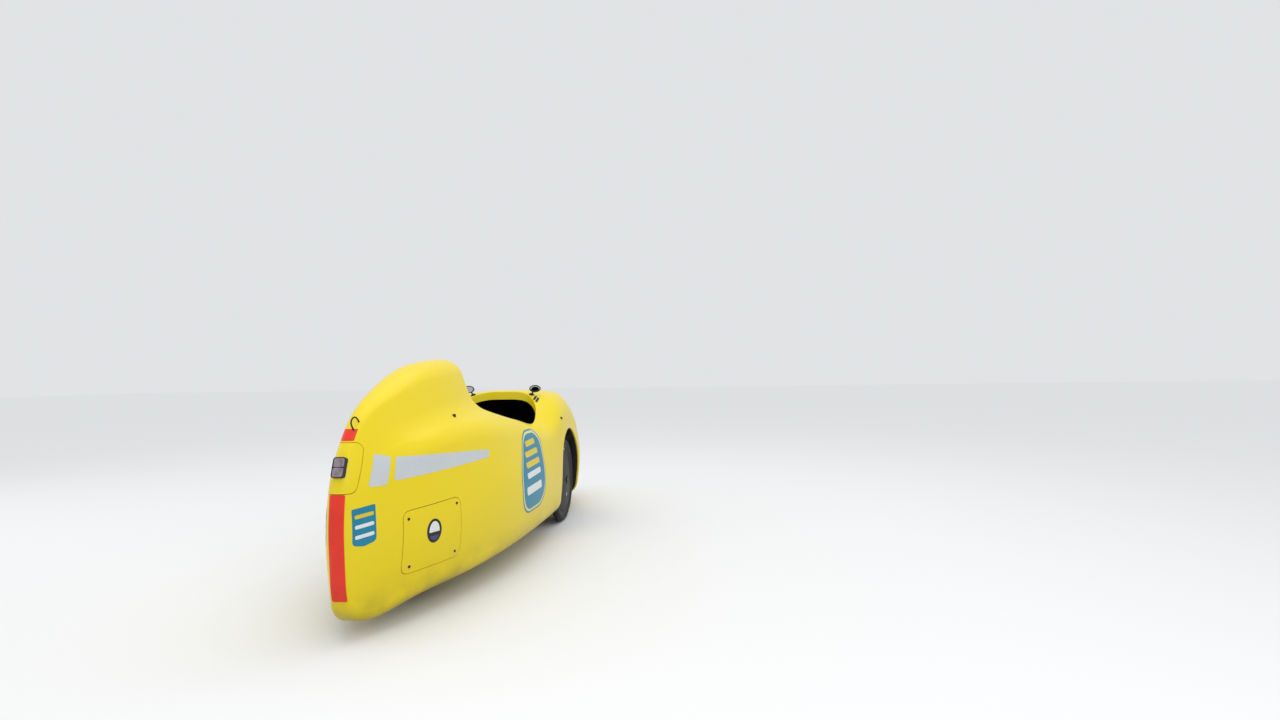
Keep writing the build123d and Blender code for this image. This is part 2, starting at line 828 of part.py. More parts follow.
# Chain, drawn as one closed loop in the plane of the chainring
idler_z = 152
idler_radius = 22
front_idler_x = 150
rear_idler_x = -400
power_z = idler_z - idler_radius - 1
return_z = 110


def chain_outline(grow):
    """Draw the chain's closed line, grown outward, as a face of the sketch that is open."""
    ring = chainring_radius + 1 + grow
    cog = sprocket_radius + 1 + grow
    ring_top = (crank_x - 0.44 * ring, -crank_z - 0.898 * ring)
    ring_low = (crank_x - 0.2 * ring, -crank_z + 0.98 * ring)
    cog_low = (rear_axle_x + 0.37 * cog, -rear_radius + 0.93 * cog)
    cog_high = (rear_axle_x + 0.5 * cog, -rear_radius - 0.866 * cog)
    ThreePointArc(ring_top, (crank_x + ring, -crank_z), ring_low)
    Polyline(ring_low, (front_idler_x, grow - return_z), (rear_idler_x, grow - return_z), cog_low)
    ThreePointArc(cog_low, (rear_axle_x - cog, -rear_radius), cog_high)
    Polyline(cog_high, (rear_idler_x, -grow - power_z), (front_idler_x, -grow - power_z), ring_top)


chain_plane = side_plane(0, chain_y - chain_width / 2, 0)
with BuildPart() as chain:
    with BuildSketch(chain_plane):
        with BuildLine():
            chain_outline(chain_height)
        make_face()
        with BuildLine():
            chain_outline(0)
        make_face(mode=Mode.SUBTRACT)
    extrude(amount=chain_width)
save(chain.part, "chain")

# Idlers that hold the chain down under the seat
idler_width = 12
idler_axle_z = idler_z + 9
plate_thick = 5
plate_width = 34
plate_foot = 70
plate_y = chain_y - idler_width / 2 - plate_thick
with BuildPart() as idlers:
    for idler_x in (front_idler_x, rear_idler_x):
        with BuildSketch(side_plane(idler_x, plate_y, 0)):
            with Locations((0, -(plate_foot + idler_axle_z) / 2)):
                Rectangle(plate_width, idler_axle_z - plate_foot)
            with Locations((0, -idler_axle_z)):
                Circle(plate_width / 2)
        extrude(amount=plate_thick)
        add(inner_form, mode=Mode.INTERSECT)
        with BuildSketch(side_plane(idler_x, plate_y, idler_axle_z)):
            Circle(idler_radius)
        extrude(amount=plate_thick + idler_width)
save(idlers.part, "idlers")

# Tiller: steering shaft, pitman arm, inclined stick and cross handle
stick_start = Vector(front_axle_x, 0, 262)
stick_end = Vector(20, 0, 520)
stick_plane = Plane(origin=stick_start, z_dir=stick_end - stick_start)
handle_half = 120
handle_radius = 11
grip_radius = 16
grip_length = 78
grip_overhang = 2
shaft_foot = 138
shaft_length = 110
socket_foot = 242
socket_radius = 16
socket_length = 34
pitman_thick = 6
pitman_width = 22
pitman_pin_radius = 4
pitman_pin_length = 28
stick_radius = 13
with BuildPart() as tiller:
    with BuildSketch(Plane.XY.offset(shaft_foot)):
        with Locations((front_axle_x, 0)):
            Circle(shaft_radius)
    extrude(amount=shaft_length)
    with BuildSketch(Plane.XY.offset(socket_foot)):
        with Locations((front_axle_x, 0)):
            Circle(socket_radius)
    extrude(amount=socket_length)
    with BuildSketch(Plane.XY.offset(tie_rod_z - pitman_thick / 2)):
        with Locations((front_axle_x + steer_arm / 2, 0)):
            SlotOverall(steer_arm + pitman_width, pitman_width)
    extrude(amount=pitman_thick)
    with BuildSketch(Plane.XY.offset(tie_rod_z - pitman_pin_length / 2)):
        with Locations((front_axle_x + steer_arm, 0)):
            Circle(pitman_pin_radius)
    extrude(amount=pitman_pin_length)
    with BuildSketch(stick_plane):
        Circle(stick_radius)
    extrude(amount=(stick_end - stick_start).length)
    with BuildSketch(side_plane(stick_end.X, -handle_half, stick_end.Z)):
        Circle(handle_radius)
    extrude(amount=2 * handle_half)
save(tiller.part, "tiller")

with BuildPart() as tiller_grips:
    for y_from in (-handle_half - grip_overhang, handle_half + grip_overhang - grip_length):
        with BuildSketch(side_plane(stick_end.X, y_from, stick_end.Z)):
            Circle(grip_radius)
            Circle(handle_radius, mode=Mode.SUBTRACT)
        extrude(amount=grip_length)
save(tiller_grips.part, "tiller_grips")

# Tie rods from the pitman pin out to the steering arms: eyes at both ends of a straight bar
rod_radius = 4
rod_start = 8
rod_short = 18
eye_offset = 9
eye_thick = 8
inner_eye_radius = 10
outer_eye_radius = 11
inner_eye_hole = 4.5
outer_eye_hole = 6
for side, sign, eye_z in (("left", 1, tie_rod_z + eye_offset), ("right", -1, tie_rod_z - eye_offset)):
    inner_eye = Vector(front_axle_x + steer_arm, 0, eye_z)
    outer_eye = Vector(front_axle_x + steer_arm, sign * pin_y, tie_rod_z)
    run = outer_eye - inner_eye
    with BuildPart() as tie_rod:
        with BuildSketch(Plane(origin=inner_eye + run.normalized() * rod_start, z_dir=run)):
            Circle(rod_radius)
        extrude(amount=run.length - rod_short)
        for eye, radius in ((inner_eye, inner_eye_radius), (outer_eye, outer_eye_radius)):
            with BuildSketch(Plane.XY.offset(eye.Z - eye_thick / 2)):
                with Locations((eye.X, eye.Y)):
                    Circle(radius)
            extrude(amount=eye_thick)
        for eye, hole in ((inner_eye, inner_eye_hole), (outer_eye, outer_eye_hole)):
            with BuildSketch(Plane.XY.offset(eye.Z - 2 * eye_thick)):
                with Locations((eye.X, eye.Y)):
                    Circle(hole)
            extrude(amount=4 * eye_thick, mode=Mode.SUBTRACT)
    save(tie_rod.part, f"tie_rod_{side}")

# Mirrors on leaning stalks, each on a foot beside the front of the cockpit
mirror_foot = Vector(320, 172, 744)
mirror_head = Vector(316, 195, 776)
mirror_up = (-0.25, 0.2, 0.95)
mirror_depth = 20
mirror_half_width = 33
mirror_half_height = 21
mirror_foot_radius = 14
mirror_foot_sunk = 6
mirror_foot_thick = 10
stalk_radius = 5
with BuildPart() as mirror:
    with BuildSketch(Plane(origin=mirror_foot, z_dir=mirror_up).offset(-mirror_foot_sunk)):
        Circle(mirror_foot_radius)
    extrude(amount=mirror_foot_thick)
    with BuildSketch(Plane(origin=mirror_foot, z_dir=mirror_head - mirror_foot)):
        Circle(stalk_radius)
    extrude(amount=(mirror_head - mirror_foot).length)
    head_rear = mirror_head - Vector(mirror_depth / 2, 0, 0)
    with BuildSketch(Plane(origin=head_rear, x_dir=(0, 1, 0), z_dir=(1, 0, 0))):
        Ellipse(mirror_half_width, mirror_half_height)
    extrude(amount=mirror_depth)
    add(outer_form, mode=Mode.SUBTRACT)
for side, piece in both_sides(mirror.part):
    save(piece, f"mirror_{side}")

# Studs for a cockpit cover. Columns: left place on the skin, direction in which it stands out
stud_rows = (
    ((-811, 165, 694), (-0.14, 0.69, 0.71)),
    ((280, 354, 609), (-0.12, 0.94, 0.32)),
)
stud_radius = 5
stud_length = 6
flange_radius = 9
flange_top = 1.5
stud_root = 8
with BuildPart() as cover_studs:
    for (place_x, place_y, place_z), (lean_x, lean_y, lean_z) in stud_rows:
        for sign in (-1, 1):
            stud_foot = Vector(place_x, sign * place_y, place_z)
            stud_plane = Plane(origin=stud_foot, z_dir=(lean_x, sign * lean_y, lean_z))
            with BuildSketch(stud_plane.offset(-stud_root)):
                Circle(flange_radius)
            extrude(amount=stud_root + flange_top)
            with BuildSketch(stud_plane.offset(flange_top)):
                Circle(stud_radius)
            extrude(amount=stud_length)
    add(outer_form, mode=Mode.SUBTRACT)
save(cover_studs.part, "cover_studs")

# Light cable: a short loop out of the tail and back in above the upper reflector
cable_radius = 2.3
bend_share = 0.45
cable_route = [
    (-1258, -15, 704),
    (-1266, -14, 717),
    (-1280, -10, 727),
    (-1297, -4, 722),
    (-1303, -2, 704),
    (-1297, -7, 689),
    (-1285, -12, 679),
]
corner_list = []
for i in range(1, len(cable_route) - 1):
    a = Vector(cable_route[i]) - Vector(cable_route[i - 1])
    b = Vector(cable_route[i + 1]) - Vector(cable_route[i])
    turn = math.radians(a.get_angle(b))
    corner_list.append(bend_share * min(a.length, b.length) / math.tan(turn / 2))
with BuildPart() as light_cable:
    with BuildLine() as cable_line:
        FilletPolyline(*cable_route, radius=corner_list)
    with BuildSketch(Plane(origin=cable_line.line @ 0, z_dir=cable_line.line % 0)):
        Circle(cable_radius)
    sweep()
    add(outer_form, mode=Mode.SUBTRACT)
save(light_cable.part, "light_cable")
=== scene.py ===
import math

import bmesh
import bpy
import numpy as np
from mathutils import Matrix, Vector
from mathutils.bvhtree import BVHTree


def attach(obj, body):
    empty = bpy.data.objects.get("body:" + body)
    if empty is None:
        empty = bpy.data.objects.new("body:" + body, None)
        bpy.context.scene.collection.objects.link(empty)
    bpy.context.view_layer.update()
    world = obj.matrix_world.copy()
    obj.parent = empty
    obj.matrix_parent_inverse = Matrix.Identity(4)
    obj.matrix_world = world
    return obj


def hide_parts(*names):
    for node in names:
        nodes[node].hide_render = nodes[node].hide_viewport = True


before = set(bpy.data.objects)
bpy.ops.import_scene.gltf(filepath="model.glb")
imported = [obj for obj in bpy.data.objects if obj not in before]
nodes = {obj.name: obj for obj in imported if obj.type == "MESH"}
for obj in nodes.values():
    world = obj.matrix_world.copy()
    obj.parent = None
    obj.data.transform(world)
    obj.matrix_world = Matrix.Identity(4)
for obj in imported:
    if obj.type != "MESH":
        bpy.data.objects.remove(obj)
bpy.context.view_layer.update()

show = bpy.context.scene.collection.objects.link
MM = 0.001
sides = (("right", -1), ("left", 1))
# Places in mm: front axle and half the track, rear axle, crank axle and crank length, handle
axle_x, track_half, front_radius = 440, 315, 240
rear_axle_x, rear_radius = -850, 307
crank_x, crank_z, crank_length = 880, 355, 155
handle_x, handle_z = 20, 520


def axes_at(place, x, y, z):
    """Matrix of a frame with its origin at a place in metres."""
    return Matrix.Translation(place) @ Matrix((x, y, z)).transposed().to_4x4()


# Camera: the photograph's place, in metres, and viewing angle
camera_place = (-3.275, -1.14, 0.846)
yaw, pitch, roll = (math.radians(angle) for angle in (5.42, 1.34, -0.765))
forward = Vector((math.cos(yaw) * math.cos(pitch), math.sin(yaw) * math.cos(pitch), math.sin(pitch)))
level_right = Vector((math.sin(yaw), -math.cos(yaw), 0))
level_up = level_right.cross(forward)
right = math.cos(roll) * level_right + math.sin(roll) * level_up
up = -math.sin(roll) * level_right + math.cos(roll) * level_up
camera = bpy.data.objects.new("camera", bpy.data.cameras.new("camera"))
camera.data.lens = 18
camera.data.sensor_width = 36
camera.data.clip_start = 0.05
camera.matrix_world = axes_at(camera_place, right, up, -forward)
show(camera)
bpy.context.scene.camera = camera


# Materials
class Paint:
    """A Principled material with short calls for the nodes that vary it."""

    def __init__(self, name, color, rough, metallic=0.0, coat=0.0, coat_rough=0.05):
        self.mat = bpy.data.materials.new(name)
        self.mat.use_nodes = True
        self.tree = self.mat.node_tree
        self.bsdf = self.tree.nodes["Principled BSDF"]
        self.place = self.node("ShaderNodeTexCoord").outputs["Object"]
        self.set("Base Color", (*color, 1)).set("Roughness", rough).set("Metallic", metallic)
        self.set("Coat Weight", coat).set("Coat Roughness", coat_rough)

    def set(self, socket, value):
        self.bsdf.inputs[socket].default_value = value
        return self

    def node(self, kind, inputs=(), **settings):
        """A new node with its settings, and a value or another node's output for each named input."""
        made = self.tree.nodes.new(kind)
        for key, value in settings.items():
            setattr(made, key, value)
        for slot, value in dict(inputs).items():
            if isinstance(value, bpy.types.NodeSocket):
                self.tree.links.new(value, made.inputs[slot])
            else:
                made.inputs[slot].default_value = value
        return made

    def math(self, operation, *values):
        return self.node("ShaderNodeMath", enumerate(values), operation=operation).outputs[0]

    def axis(self, name):
        return self.node("ShaderNodeSeparateXYZ", {0: self.place}).outputs[name]

    def wave(self, source, turns):
        return self.math("SINE", self.math("MULTIPLY", source, turns))

    def noise(self, scale, detail=4.0, stretch=(1, 1, 1)):
        spread = self.node("ShaderNodeMapping", {"Vector": self.place, "Scale": stretch}).outputs[0]
        inputs = {"Vector": spread, "Scale": scale, "Detail": detail}
        return self.node("ShaderNodeTexNoise", inputs).outputs[0]

    def cells(self, scale, feature="DISTANCE_TO_EDGE"):
        inputs = {"Vector": self.place, "Scale": scale}
        return self.node("ShaderNodeTexVoronoi", inputs, feature=feature).outputs[0]

    def ramp(self, source, low, high, start=0.0, end=1.0):
        inputs = {0: source, "From Min": low, "From Max": high, "To Min": start, "To Max": end}
        return self.node("ShaderNodeMapRange", inputs).outputs[0]

    def tint(self, factor, other):
        """Mix another colour into the base colour by a factor."""
        base = self.bsdf.inputs["Base Color"]
        under = base.links[0].from_socket if base.is_linked else base.default_value
        made = self.node("ShaderNodeMix", {0: factor, 6: under, 7: (*other, 1)}, data_type="RGBA")
        self.tree.links.new(made.outputs[2], base)
        return self

    def mottle(self, other, amount, low, high, scale, detail=4.0):
        """Mix another colour in by patches, up to an amount, as noise of a scale goes from low to high."""
        return self.tint(self.ramp(self.noise(scale, detail), low, high, 0.0, amount), other)

    def rough(self, source, low, high):
        self.tree.links.new(self.ramp(source, 0.3, 0.7, low, high), self.bsdf.inputs["Roughness"])
        return self

    def bump(self, source, strength, distance):
        made = self.node("ShaderNodeBump", {"Height": source, "Strength": strength, "Distance": distance})
        self.tree.links.new(made.outputs[0], self.bsdf.inputs["Normal"])
        return self


def srgb(*display):
    """Linear colour from display values of 0 to 255."""
    return tuple(v / 255 / 12.92 if v < 10.3 else ((v / 255 + 0.055) / 1.055) ** 2.4 for v in display)


gelcoat = Paint("yellow_gelcoat", srgb(237, 212, 16), 0.44, coat=0.3).set("Specular IOR Level", 0.22)
gelcoat.mottle(srgb(222, 192, 10), 0.12, 0.35, 0.7, 2.5, 3.0)
# Brownish noise patches that darken the gelcoat towards the bottom, fading out by about 0.22 m up
near_ground = gelcoat.ramp(gelcoat.axis("Z"), 0.05, 0.22, 1.0, 0.0)
darker_low_patches = gelcoat.math("MULTIPLY", near_ground, gelcoat.ramp(gelcoat.noise(9.0, 8.0), 0.38, 0.66, 0.0, 0.45))
gelcoat.tint(darker_low_patches, srgb(96, 84, 48))
yellow = gelcoat.bump(gelcoat.noise(55.0, 2.0), 0.035, 0.004).mat

inner = Paint("shell_inside", srgb(38, 38, 40), 0.6).mottle(srgb(52, 51, 50), 1.0, 0.4, 0.6, 60.0, 3.0)
shell_inside = inner.bump(inner.noise(420.0, 2.0), 0.3, 0.001).mat

tape = Paint("grey_reflective_tape", srgb(206, 212, 214), 0.42, metallic=0.25, coat=0.25, coat_rough=0.2)
tape.tint(tape.ramp(tape.cells(330.0), 0.0, 0.08, 0.35, 0.0), srgb(150, 156, 160))
grey_tape = tape.mottle(srgb(180, 184, 190), 0.15, 0.4, 0.7, 6.0).mat

red = Paint("red_reflective_tape", srgb(238, 52, 26), 0.38, coat=0.25, coat_rough=0.1)
red.set("Specular IOR Level", 0.3)
slopes = [red.math(way, red.axis("Y"), red.axis("Z")) for way in ("ADD", "SUBTRACT")]
lattice = [red.math("ABSOLUTE", red.wave(slope, 700.0)) for slope in slopes]
red.tint(red.ramp(red.math("MINIMUM", *lattice), 0.0, 0.18, 0.55, 0.0), srgb(176, 22, 12))
red_tape = red.mottle(srgb(214, 26, 16), 0.3, 0.4, 0.7, 18.0, 3.0).mat


def film(name, color, other):
    made = Paint(name, color, 0.4, coat=0.2, coat_rough=0.08).set("Specular IOR Level", 0.3)
    return made.mottle(other, 0.35, 0.35, 0.7, 30.0, 5.0).mat


blue_film = film("blue_film", srgb(14, 130, 160), srgb(10, 114, 146))
cream_film = film("cream_film", srgb(226, 222, 140), srgb(206, 204, 126))
white_film = film("white_film", srgb(228, 232, 232), srgb(206, 212, 214))
gold_film = film("gold_film", srgb(224, 200, 40), srgb(206, 180, 30))
black_film = film("black_film", srgb(22, 22, 26), srgb(34, 34, 40))
navy_film = film("navy_film", srgb(66, 74, 112), srgb(54, 60, 96))

# Twill cloth set in resin: diagonal bands of warp and weft on every flat side
twill_turns = 2 * math.pi / 0.009
twill = Paint("carbon_twill", srgb(20, 20, 22), 0.4, coat=0.6, coat_rough=0.12)
level_way = twill.math("ADD", twill.axis("X"), twill.axis("Y"))
bands = [twill.wave(twill.math(way, level_way, twill.axis("Z")), twill_turns) for way in ("ADD", "SUBTRACT")]
crossing = twill.math("MULTIPLY", *bands)
twill.tint(twill.math("MULTIPLY", twill.math("GREATER_THAN", crossing, 0.0), 0.8), srgb(44, 44, 47))
carbon = twill.bump(crossing, 0.12, 0.0006).mat


def plastic(name, color, rough, grain=300.0, strength=0.25):
    made = Paint(name, color, rough)
    made.mottle([min(1.0, c * 1.5 + 0.004) for c in color], 0.5, 0.4, 0.7, 14.0, 6.0)
    return made.bump(made.cells(grain, "F1"), strength, 0.0004).mat


black_plastic = plastic("black_plastic", srgb(24, 24, 26), 0.48)
grip_rubber = plastic("grip_rubber", srgb(20, 20, 20), 0.75, 500.0, 0.5)
sheath = plastic("cable_sheath", srgb(18, 18, 20), 0.5, 700.0, 0.15)


def metal(name, color, rough, stretch, metallic=1.0):
    made = Paint(name, color, rough, metallic=metallic)
    grain = made.noise(240.0, 5.0, stretch)
    made.rough(grain, rough * 0.75, rough * 1.35).mottle([c * 0.7 for c in color], 0.25, 0.4, 0.75, 11.0, 5.0)
    return made.bump(grain, 0.08, 0.0005).mat


alloy = metal("satin_aluminium", srgb(186, 188, 190), 0.34, (0.1, 1, 1))
steel = metal("oiled_steel", srgb(120, 116, 110), 0.4, (1, 1, 0.2))
anodised = metal("black_anodised", srgb(30, 30, 32), 0.42, (1, 0.15, 1), 0.6)
dark_steel = metal("dark_screw_steel", srgb(62, 60, 60), 0.38, (1, 1, 1))

rubber = Paint("tyre_rubber", srgb(27, 27, 28), 0.72).mottle(srgb(58, 55, 50), 0.7, 0.45, 0.7, 26.0, 7.0)
tyre_rubber = rubber.bump(rubber.noise(420.0, 3.0), 0.4, 0.0006).mat

cover = Paint("black_wheel_cover", srgb(20, 21, 22), 0.5, coat=0.08, coat_rough=0.2)
cover.set("Specular IOR Level", 0.12).mottle(srgb(38, 37, 36), 0.5, 0.42, 0.72, 12.0, 6.0)
disc_cover = cover.bump(cover.noise(40.0, 2.0), 0.05, 0.003).mat

lens = Paint("clear_lens", (0.9, 0.93, 0.95), 0.04, coat=0.4)
lens.set("Transmission Weight", 0.92).set("IOR", 1.46)
clear_lens = lens.bump(lens.noise(30.0, 1.0), 0.02, 0.002).mat

smoke = Paint("smoked_lens", srgb(150, 136, 146), 0.26, coat=0.5)
ribs = smoke.wave(smoke.axis("Z"), 1500.0)
smoke.tint(smoke.ramp(ribs, -1.0, 1.0, 0.0, 0.45), srgb(112, 94, 106))
smoked_lens = smoke.mottle(srgb(70, 58, 70), 0.6, 0.5, 0.7, 60.0, 2.0).bump(ribs, 0.15, 0.0008).mat

chrome = Paint("mirror_glass", (0.5, 0.5, 0.56), 0.03, metallic=1.0)
mirror_glass = chrome.rough(chrome.noise(20.0), 0.02, 0.06).mat

cloth = Paint("seat_mesh", srgb(26, 26, 28), 0.85).set("Sheen Weight", 0.3)
cloth.tint(cloth.ramp(cloth.cells(260.0), 0.05, 0.25, 0.9, 0.0), srgb(56, 56, 60))
seat_mesh = cloth.bump(cloth.cells(260.0), 0.8, 0.0015).mat


# Outlines, as points in mm
def turn_at(points, i):
    """Runs before and after a corner of a closed outline, and the angle between them."""
    before, corner, after = (np.array(points[j % len(points)], float) for j in (i - 1, i, i + 1))
    a, b = corner - before, after - corner
    cosine = float(a @ b) / np.linalg.norm(a) / np.linalg.norm(b)
    return corner, a, b, math.acos(max(-1, min(1, cosine)))


def soft_radii(points, shares):
    """Radius at each corner of a closed outline that rounds off a share of the shorter run."""
    radii = []
    for i, share in enumerate(shares):
        _, a, b, turn = turn_at(points, i)
        radii.append(share * min(np.linalg.norm(a), np.linalg.norm(b)) / math.tan(turn / 2))
    return radii


def rounded(points, radius, steps=6):
    """A closed outline with its corners rounded by arcs, of one radius or of one for each corner."""
    radii = radius if isinstance(radius, (list, tuple)) else [radius] * len(points)
    outline = []
    for i, wanted in enumerate(radii):
        corner, a, b, turn = turn_at(points, i)
        reach = min(wanted * math.tan(turn / 2), 0.49 * np.linalg.norm(a), 0.49 * np.linalg.norm(b))
        if turn < 1e-3 or reach < 1e-6:
            outline.append(tuple(corner))
            continue
        side = math.copysign(1, a[0] * b[1] - a[1] * b[0])
        actual = reach / math.tan(turn / 2)
        ahead = a / np.linalg.norm(a)
        start = corner - ahead * reach
        centre = start + np.array([-ahead[1], ahead[0]]) * actual * side
        first = math.degrees(math.atan2(*(start - centre)[::-1]))
        outline += arc(centre, (actual, actual), first, first + side * math.degrees(turn), steps)
    return outline


def arc(centre, radii, first, last, steps):
    """Points along a round or elliptic arc between two angles in degrees."""
    angles = np.radians(np.linspace(first, last, steps + 1))
    return [(centre[0] + radii[0] * math.cos(t), centre[1] + radii[1] * math.sin(t)) for t in angles]


def ellipse(cx, cy, rx, ry, steps=48):
    return arc((cx, cy), (rx, ry), 0, 360, steps)[:-1]


def box(low_a, low_b, high_a, high_b, radius, steps=6):
    """A rectangle between two opposite corners, rounded."""
    return rounded([(low_a, low_b), (high_a, low_b), (high_a, high_b), (low_a, high_b)], radius, steps)


def plate(half_a, half_b, radius, steps=6):
    """A rounded rectangle about the origin."""
    return box(-half_a, -half_b, half_a, half_b, radius, steps)


def denser(outline, step):
    """Add points along an outline's longer runs."""
    points = []
    for start, end in zip(outline, outline[1:] + outline[:1]):
        pieces = max(1, int(math.dist(start, end) / step))
        points += [tuple(np.add(start, np.subtract(end, start) * k / pieces)) for k in range(pieces)]
    return points


# Meshes
def add_piece(name, mesh, materials, body="chassis", replaces=()):
    """Put a mesh into the scene as a piece that rides on a body."""
    made = bpy.data.objects.new(name, mesh)
    for material in materials:
        mesh.materials.append(material)
    show(made)
    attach(made, body)
    if replaces:
        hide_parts(*replaces)
    return made


def mesh_from(name, points, faces, smooth=True, material_ids=None):
    mesh = bpy.data.meshes.new(name)
    mesh.from_pydata([tuple(p) for p in points], [], [tuple(f) for f in faces])
    mesh.polygons.foreach_set("use_smooth", [smooth] * len(mesh.polygons))
    if material_ids is not None:
        mesh.polygons.foreach_set("material_index", material_ids)
    mesh.validate()
    return mesh


def flat_angles(mesh, degrees=180):
    """Turn faces outward, and mark edges sharper than an angle so that smooth shading stops there."""
    work = bmesh.new()
    work.from_mesh(mesh)
    bmesh.ops.recalc_face_normals(work, faces=work.faces)
    for edge in work.edges:
        if len(edge.link_faces) == 2:
            edge.smooth = edge.calc_face_angle(0) < math.radians(degrees)
    work.to_mesh(mesh)
    work.free()


def grid_faces(rows, columns, loop_rows=False, loop_columns=True, caps=False):
    """Quads between rows of points, each way closed or open, with or without the two end faces."""
    faces = []
    for i in range(rows if loop_rows else rows - 1):
        for k in range(columns if loop_columns else columns - 1):
            a, b, n = i * columns, (i + 1) % rows * columns, (k + 1) % columns
            faces.append((a + k, a + n, b + n, b + k))
    if caps:
        faces += [tuple(range(columns))[::-1], tuple(range((rows - 1) * columns, rows * columns))]
    return faces


def surface(name, rows, materials, body="chassis", replaces=(), sharp=50, at=None, ids=None, **closing):
    """A piece whose skin runs through rows of points, its edges flat where they turn by more than sharp."""
    points = [point for row in rows for point in row]
    mesh = mesh_from(name, points, grid_faces(len(rows), len(rows[0]), **closing), True, ids)
    if at:
        mesh.transform(at)
    flat_angles(mesh, sharp)
    return add_piece(name, mesh, materials, body, replaces)


def circle(steps):
    """Cosine and sine at even steps round a circle."""
    return [(math.cos(2 * math.pi * k / steps), math.sin(2 * math.pi * k / steps)) for k in range(steps)]


def lathe(name, profile, centre, material, body, steps=96, replaces=()):
    """Turn an open profile of radius and offset, in mm, about an axle that lies along Y."""
    cx, cy, cz = centre
    rows = [[(cx + MM * r * c, cy + MM * offset, cz + MM * r * s) for r, offset in profile]
            for c, s in circle(steps)]
    return surface(name, rows, [material], body, replaces, 38, loop_rows=True, loop_columns=False)


def turned(name, profile, place, normal, material, steps=20, body="chassis", replaces=()):
    """A small turned fitting: a profile of radius and height, in mm, about a normal."""
    rows = [[(r * MM * c, r * MM * s, h * MM) for r, h in profile] for c, s in circle(steps)]
    lean = Vector((0, 0, 1)).rotation_difference(Vector(normal)).to_matrix().to_4x4()
    at = Matrix.Translation(Vector(place)) @ lean
    return surface(name, rows, [material], body, replaces, 35, at, loop_rows=True, loop_columns=False)


def stack(name, outline, levels, at, materials, body="chassis", replaces=(), first_bands=None):
    """A closed form through levels of an outline, of inset and height in mm, its first bands in material 0."""
    half_a, half_b = np.abs(np.array(outline)).max(0)
    rows = [[(a * (1 - inset / half_a) * MM, b * (1 - inset / half_b) * MM, height * MM) for a, b in outline]
            for inset, height in levels]
    bands = [int(i >= (first_bands or len(levels))) for i in range(len(levels))]
    ids = [band for band in bands[:-1] for _ in outline] + [bands[0], bands[-1]]
    return surface(name, rows, materials, body, replaces, 32, at, ids, caps=True)


def placed(origin, x_dir, z_dir):
    """Matrix of a local frame at a point in mm."""
    z = Vector(z_dir).normalized()
    x = (Vector(x_dir) - z * Vector(x_dir).dot(z)).normalized()
    return axes_at(Vector(origin) * MM, x, z.cross(x), z)


def tube(name, path, radius, material, body="chassis", around=8, flat=1.0):
    """A round or flattened bar along a path in mm, closed at its ends."""
    path = np.array(path, float)
    run = np.gradient(path, axis=0)
    run /= np.linalg.norm(run, axis=1)[:, None]
    radii = radius if isinstance(radius, (list, tuple)) else [radius] * len(path)
    side_dir = np.cross(run[0], (0.3, 0.1, 1))
    rows = []
    for place, ahead, r in zip(path, run, radii):
        side_dir = side_dir - ahead * (side_dir @ ahead)
        side_dir /= np.linalg.norm(side_dir)
        other = np.cross(ahead, side_dir)
        rows.append([(place + side_dir * r * c + other * r * flat * s) * MM for c, s in circle(around)])
    return surface(name, rows, [material], body, caps=True)


cloth_frames, cloth_pressure = 20, 4


def settled(mesh, kind, **settings):
    """The mesh after one modifier. Cloth is first blown up by a pressure for some frames."""
    thing = bpy.data.objects.new("settling", mesh)
    show(thing)
    change = thing.modifiers.new("change", kind)
    for key, value in settings.items():
        setattr(change, key, value)
    if kind == "CLOTH":
        change.settings.use_pressure = True
        change.settings.uniform_pressure_force = cloth_pressure
        change.settings.effector_weights.gravity = 0
        for step in range(1, cloth_frames + 1):
            bpy.context.scene.frame_set(step)
    result = bpy.data.meshes.new_from_object(thing.evaluated_get(bpy.context.evaluated_depsgraph_get()))
    bpy.data.objects.remove(thing)
    return result


# Smooth skin through the shell's sections. Columns: x, then height and half width of five corners:
# bottom, widest, shoulder, foot of the hump, crown.
shell_rows = (
    (-1367, 280, 14, 350, 24, 400, 23, 440, 17, 458, 8),
    (-1345, 138, 30, 300, 48, 430, 46, 530, 32, 572, 14),
    (-1270, 58, 62, 290, 92, 520, 80, 622, 50, 700, 22),
    (-1110, 64, 145, 300, 184, 600, 148, 668, 92, 806, 42),
    (-880, 78, 238, 320, 275, 640, 218, 700, 135, 892, 66),
    (-640, 88, 306, 340, 337, 650, 264, 716, 150, 926, 78),
    (-430, 95, 340, 345, 366, 640, 285, 722, 140, 905, 76),
    (-150, 98, 358, 340, 382, 580, 325, 640, 225, 700, 100),
    (100, 98, 365, 340, 388, 560, 348, 622, 252, 680, 110),
    (300, 98, 366, 345, 389, 640, 354, 712, 272, 752, 120),
    (550, 100, 360, 350, 386, 665, 342, 752, 270, 768, 120),
    (850, 106, 325, 355, 356, 600, 314, 738, 190, 752, 90),
    (1100, 126, 240, 355, 284, 560, 240, 672, 140, 690, 60),
    (1275, 180, 125, 350, 172, 480, 145, 562, 90, 578, 38),
    (1345, 255, 50, 345, 74, 400, 66, 440, 42, 448, 16),
    (1367, 318, 12, 345, 22, 360, 20, 372, 14, 375, 5),
)
shell_softness = (0.30, 0.46, 0.46, 0.46, 0.46)
# Shares of width and height at which the smooth skin stays inside the straight-sided solid
fit_width, fit_height = 0.998, 0.9955
hull_stations, quick_stations = 190, 110
# Scales of the rings that close its ends, and how far along, in m, a ray that misses looks for the skin
end_scales, missed_reach = (0.35, 0.7), 1.9


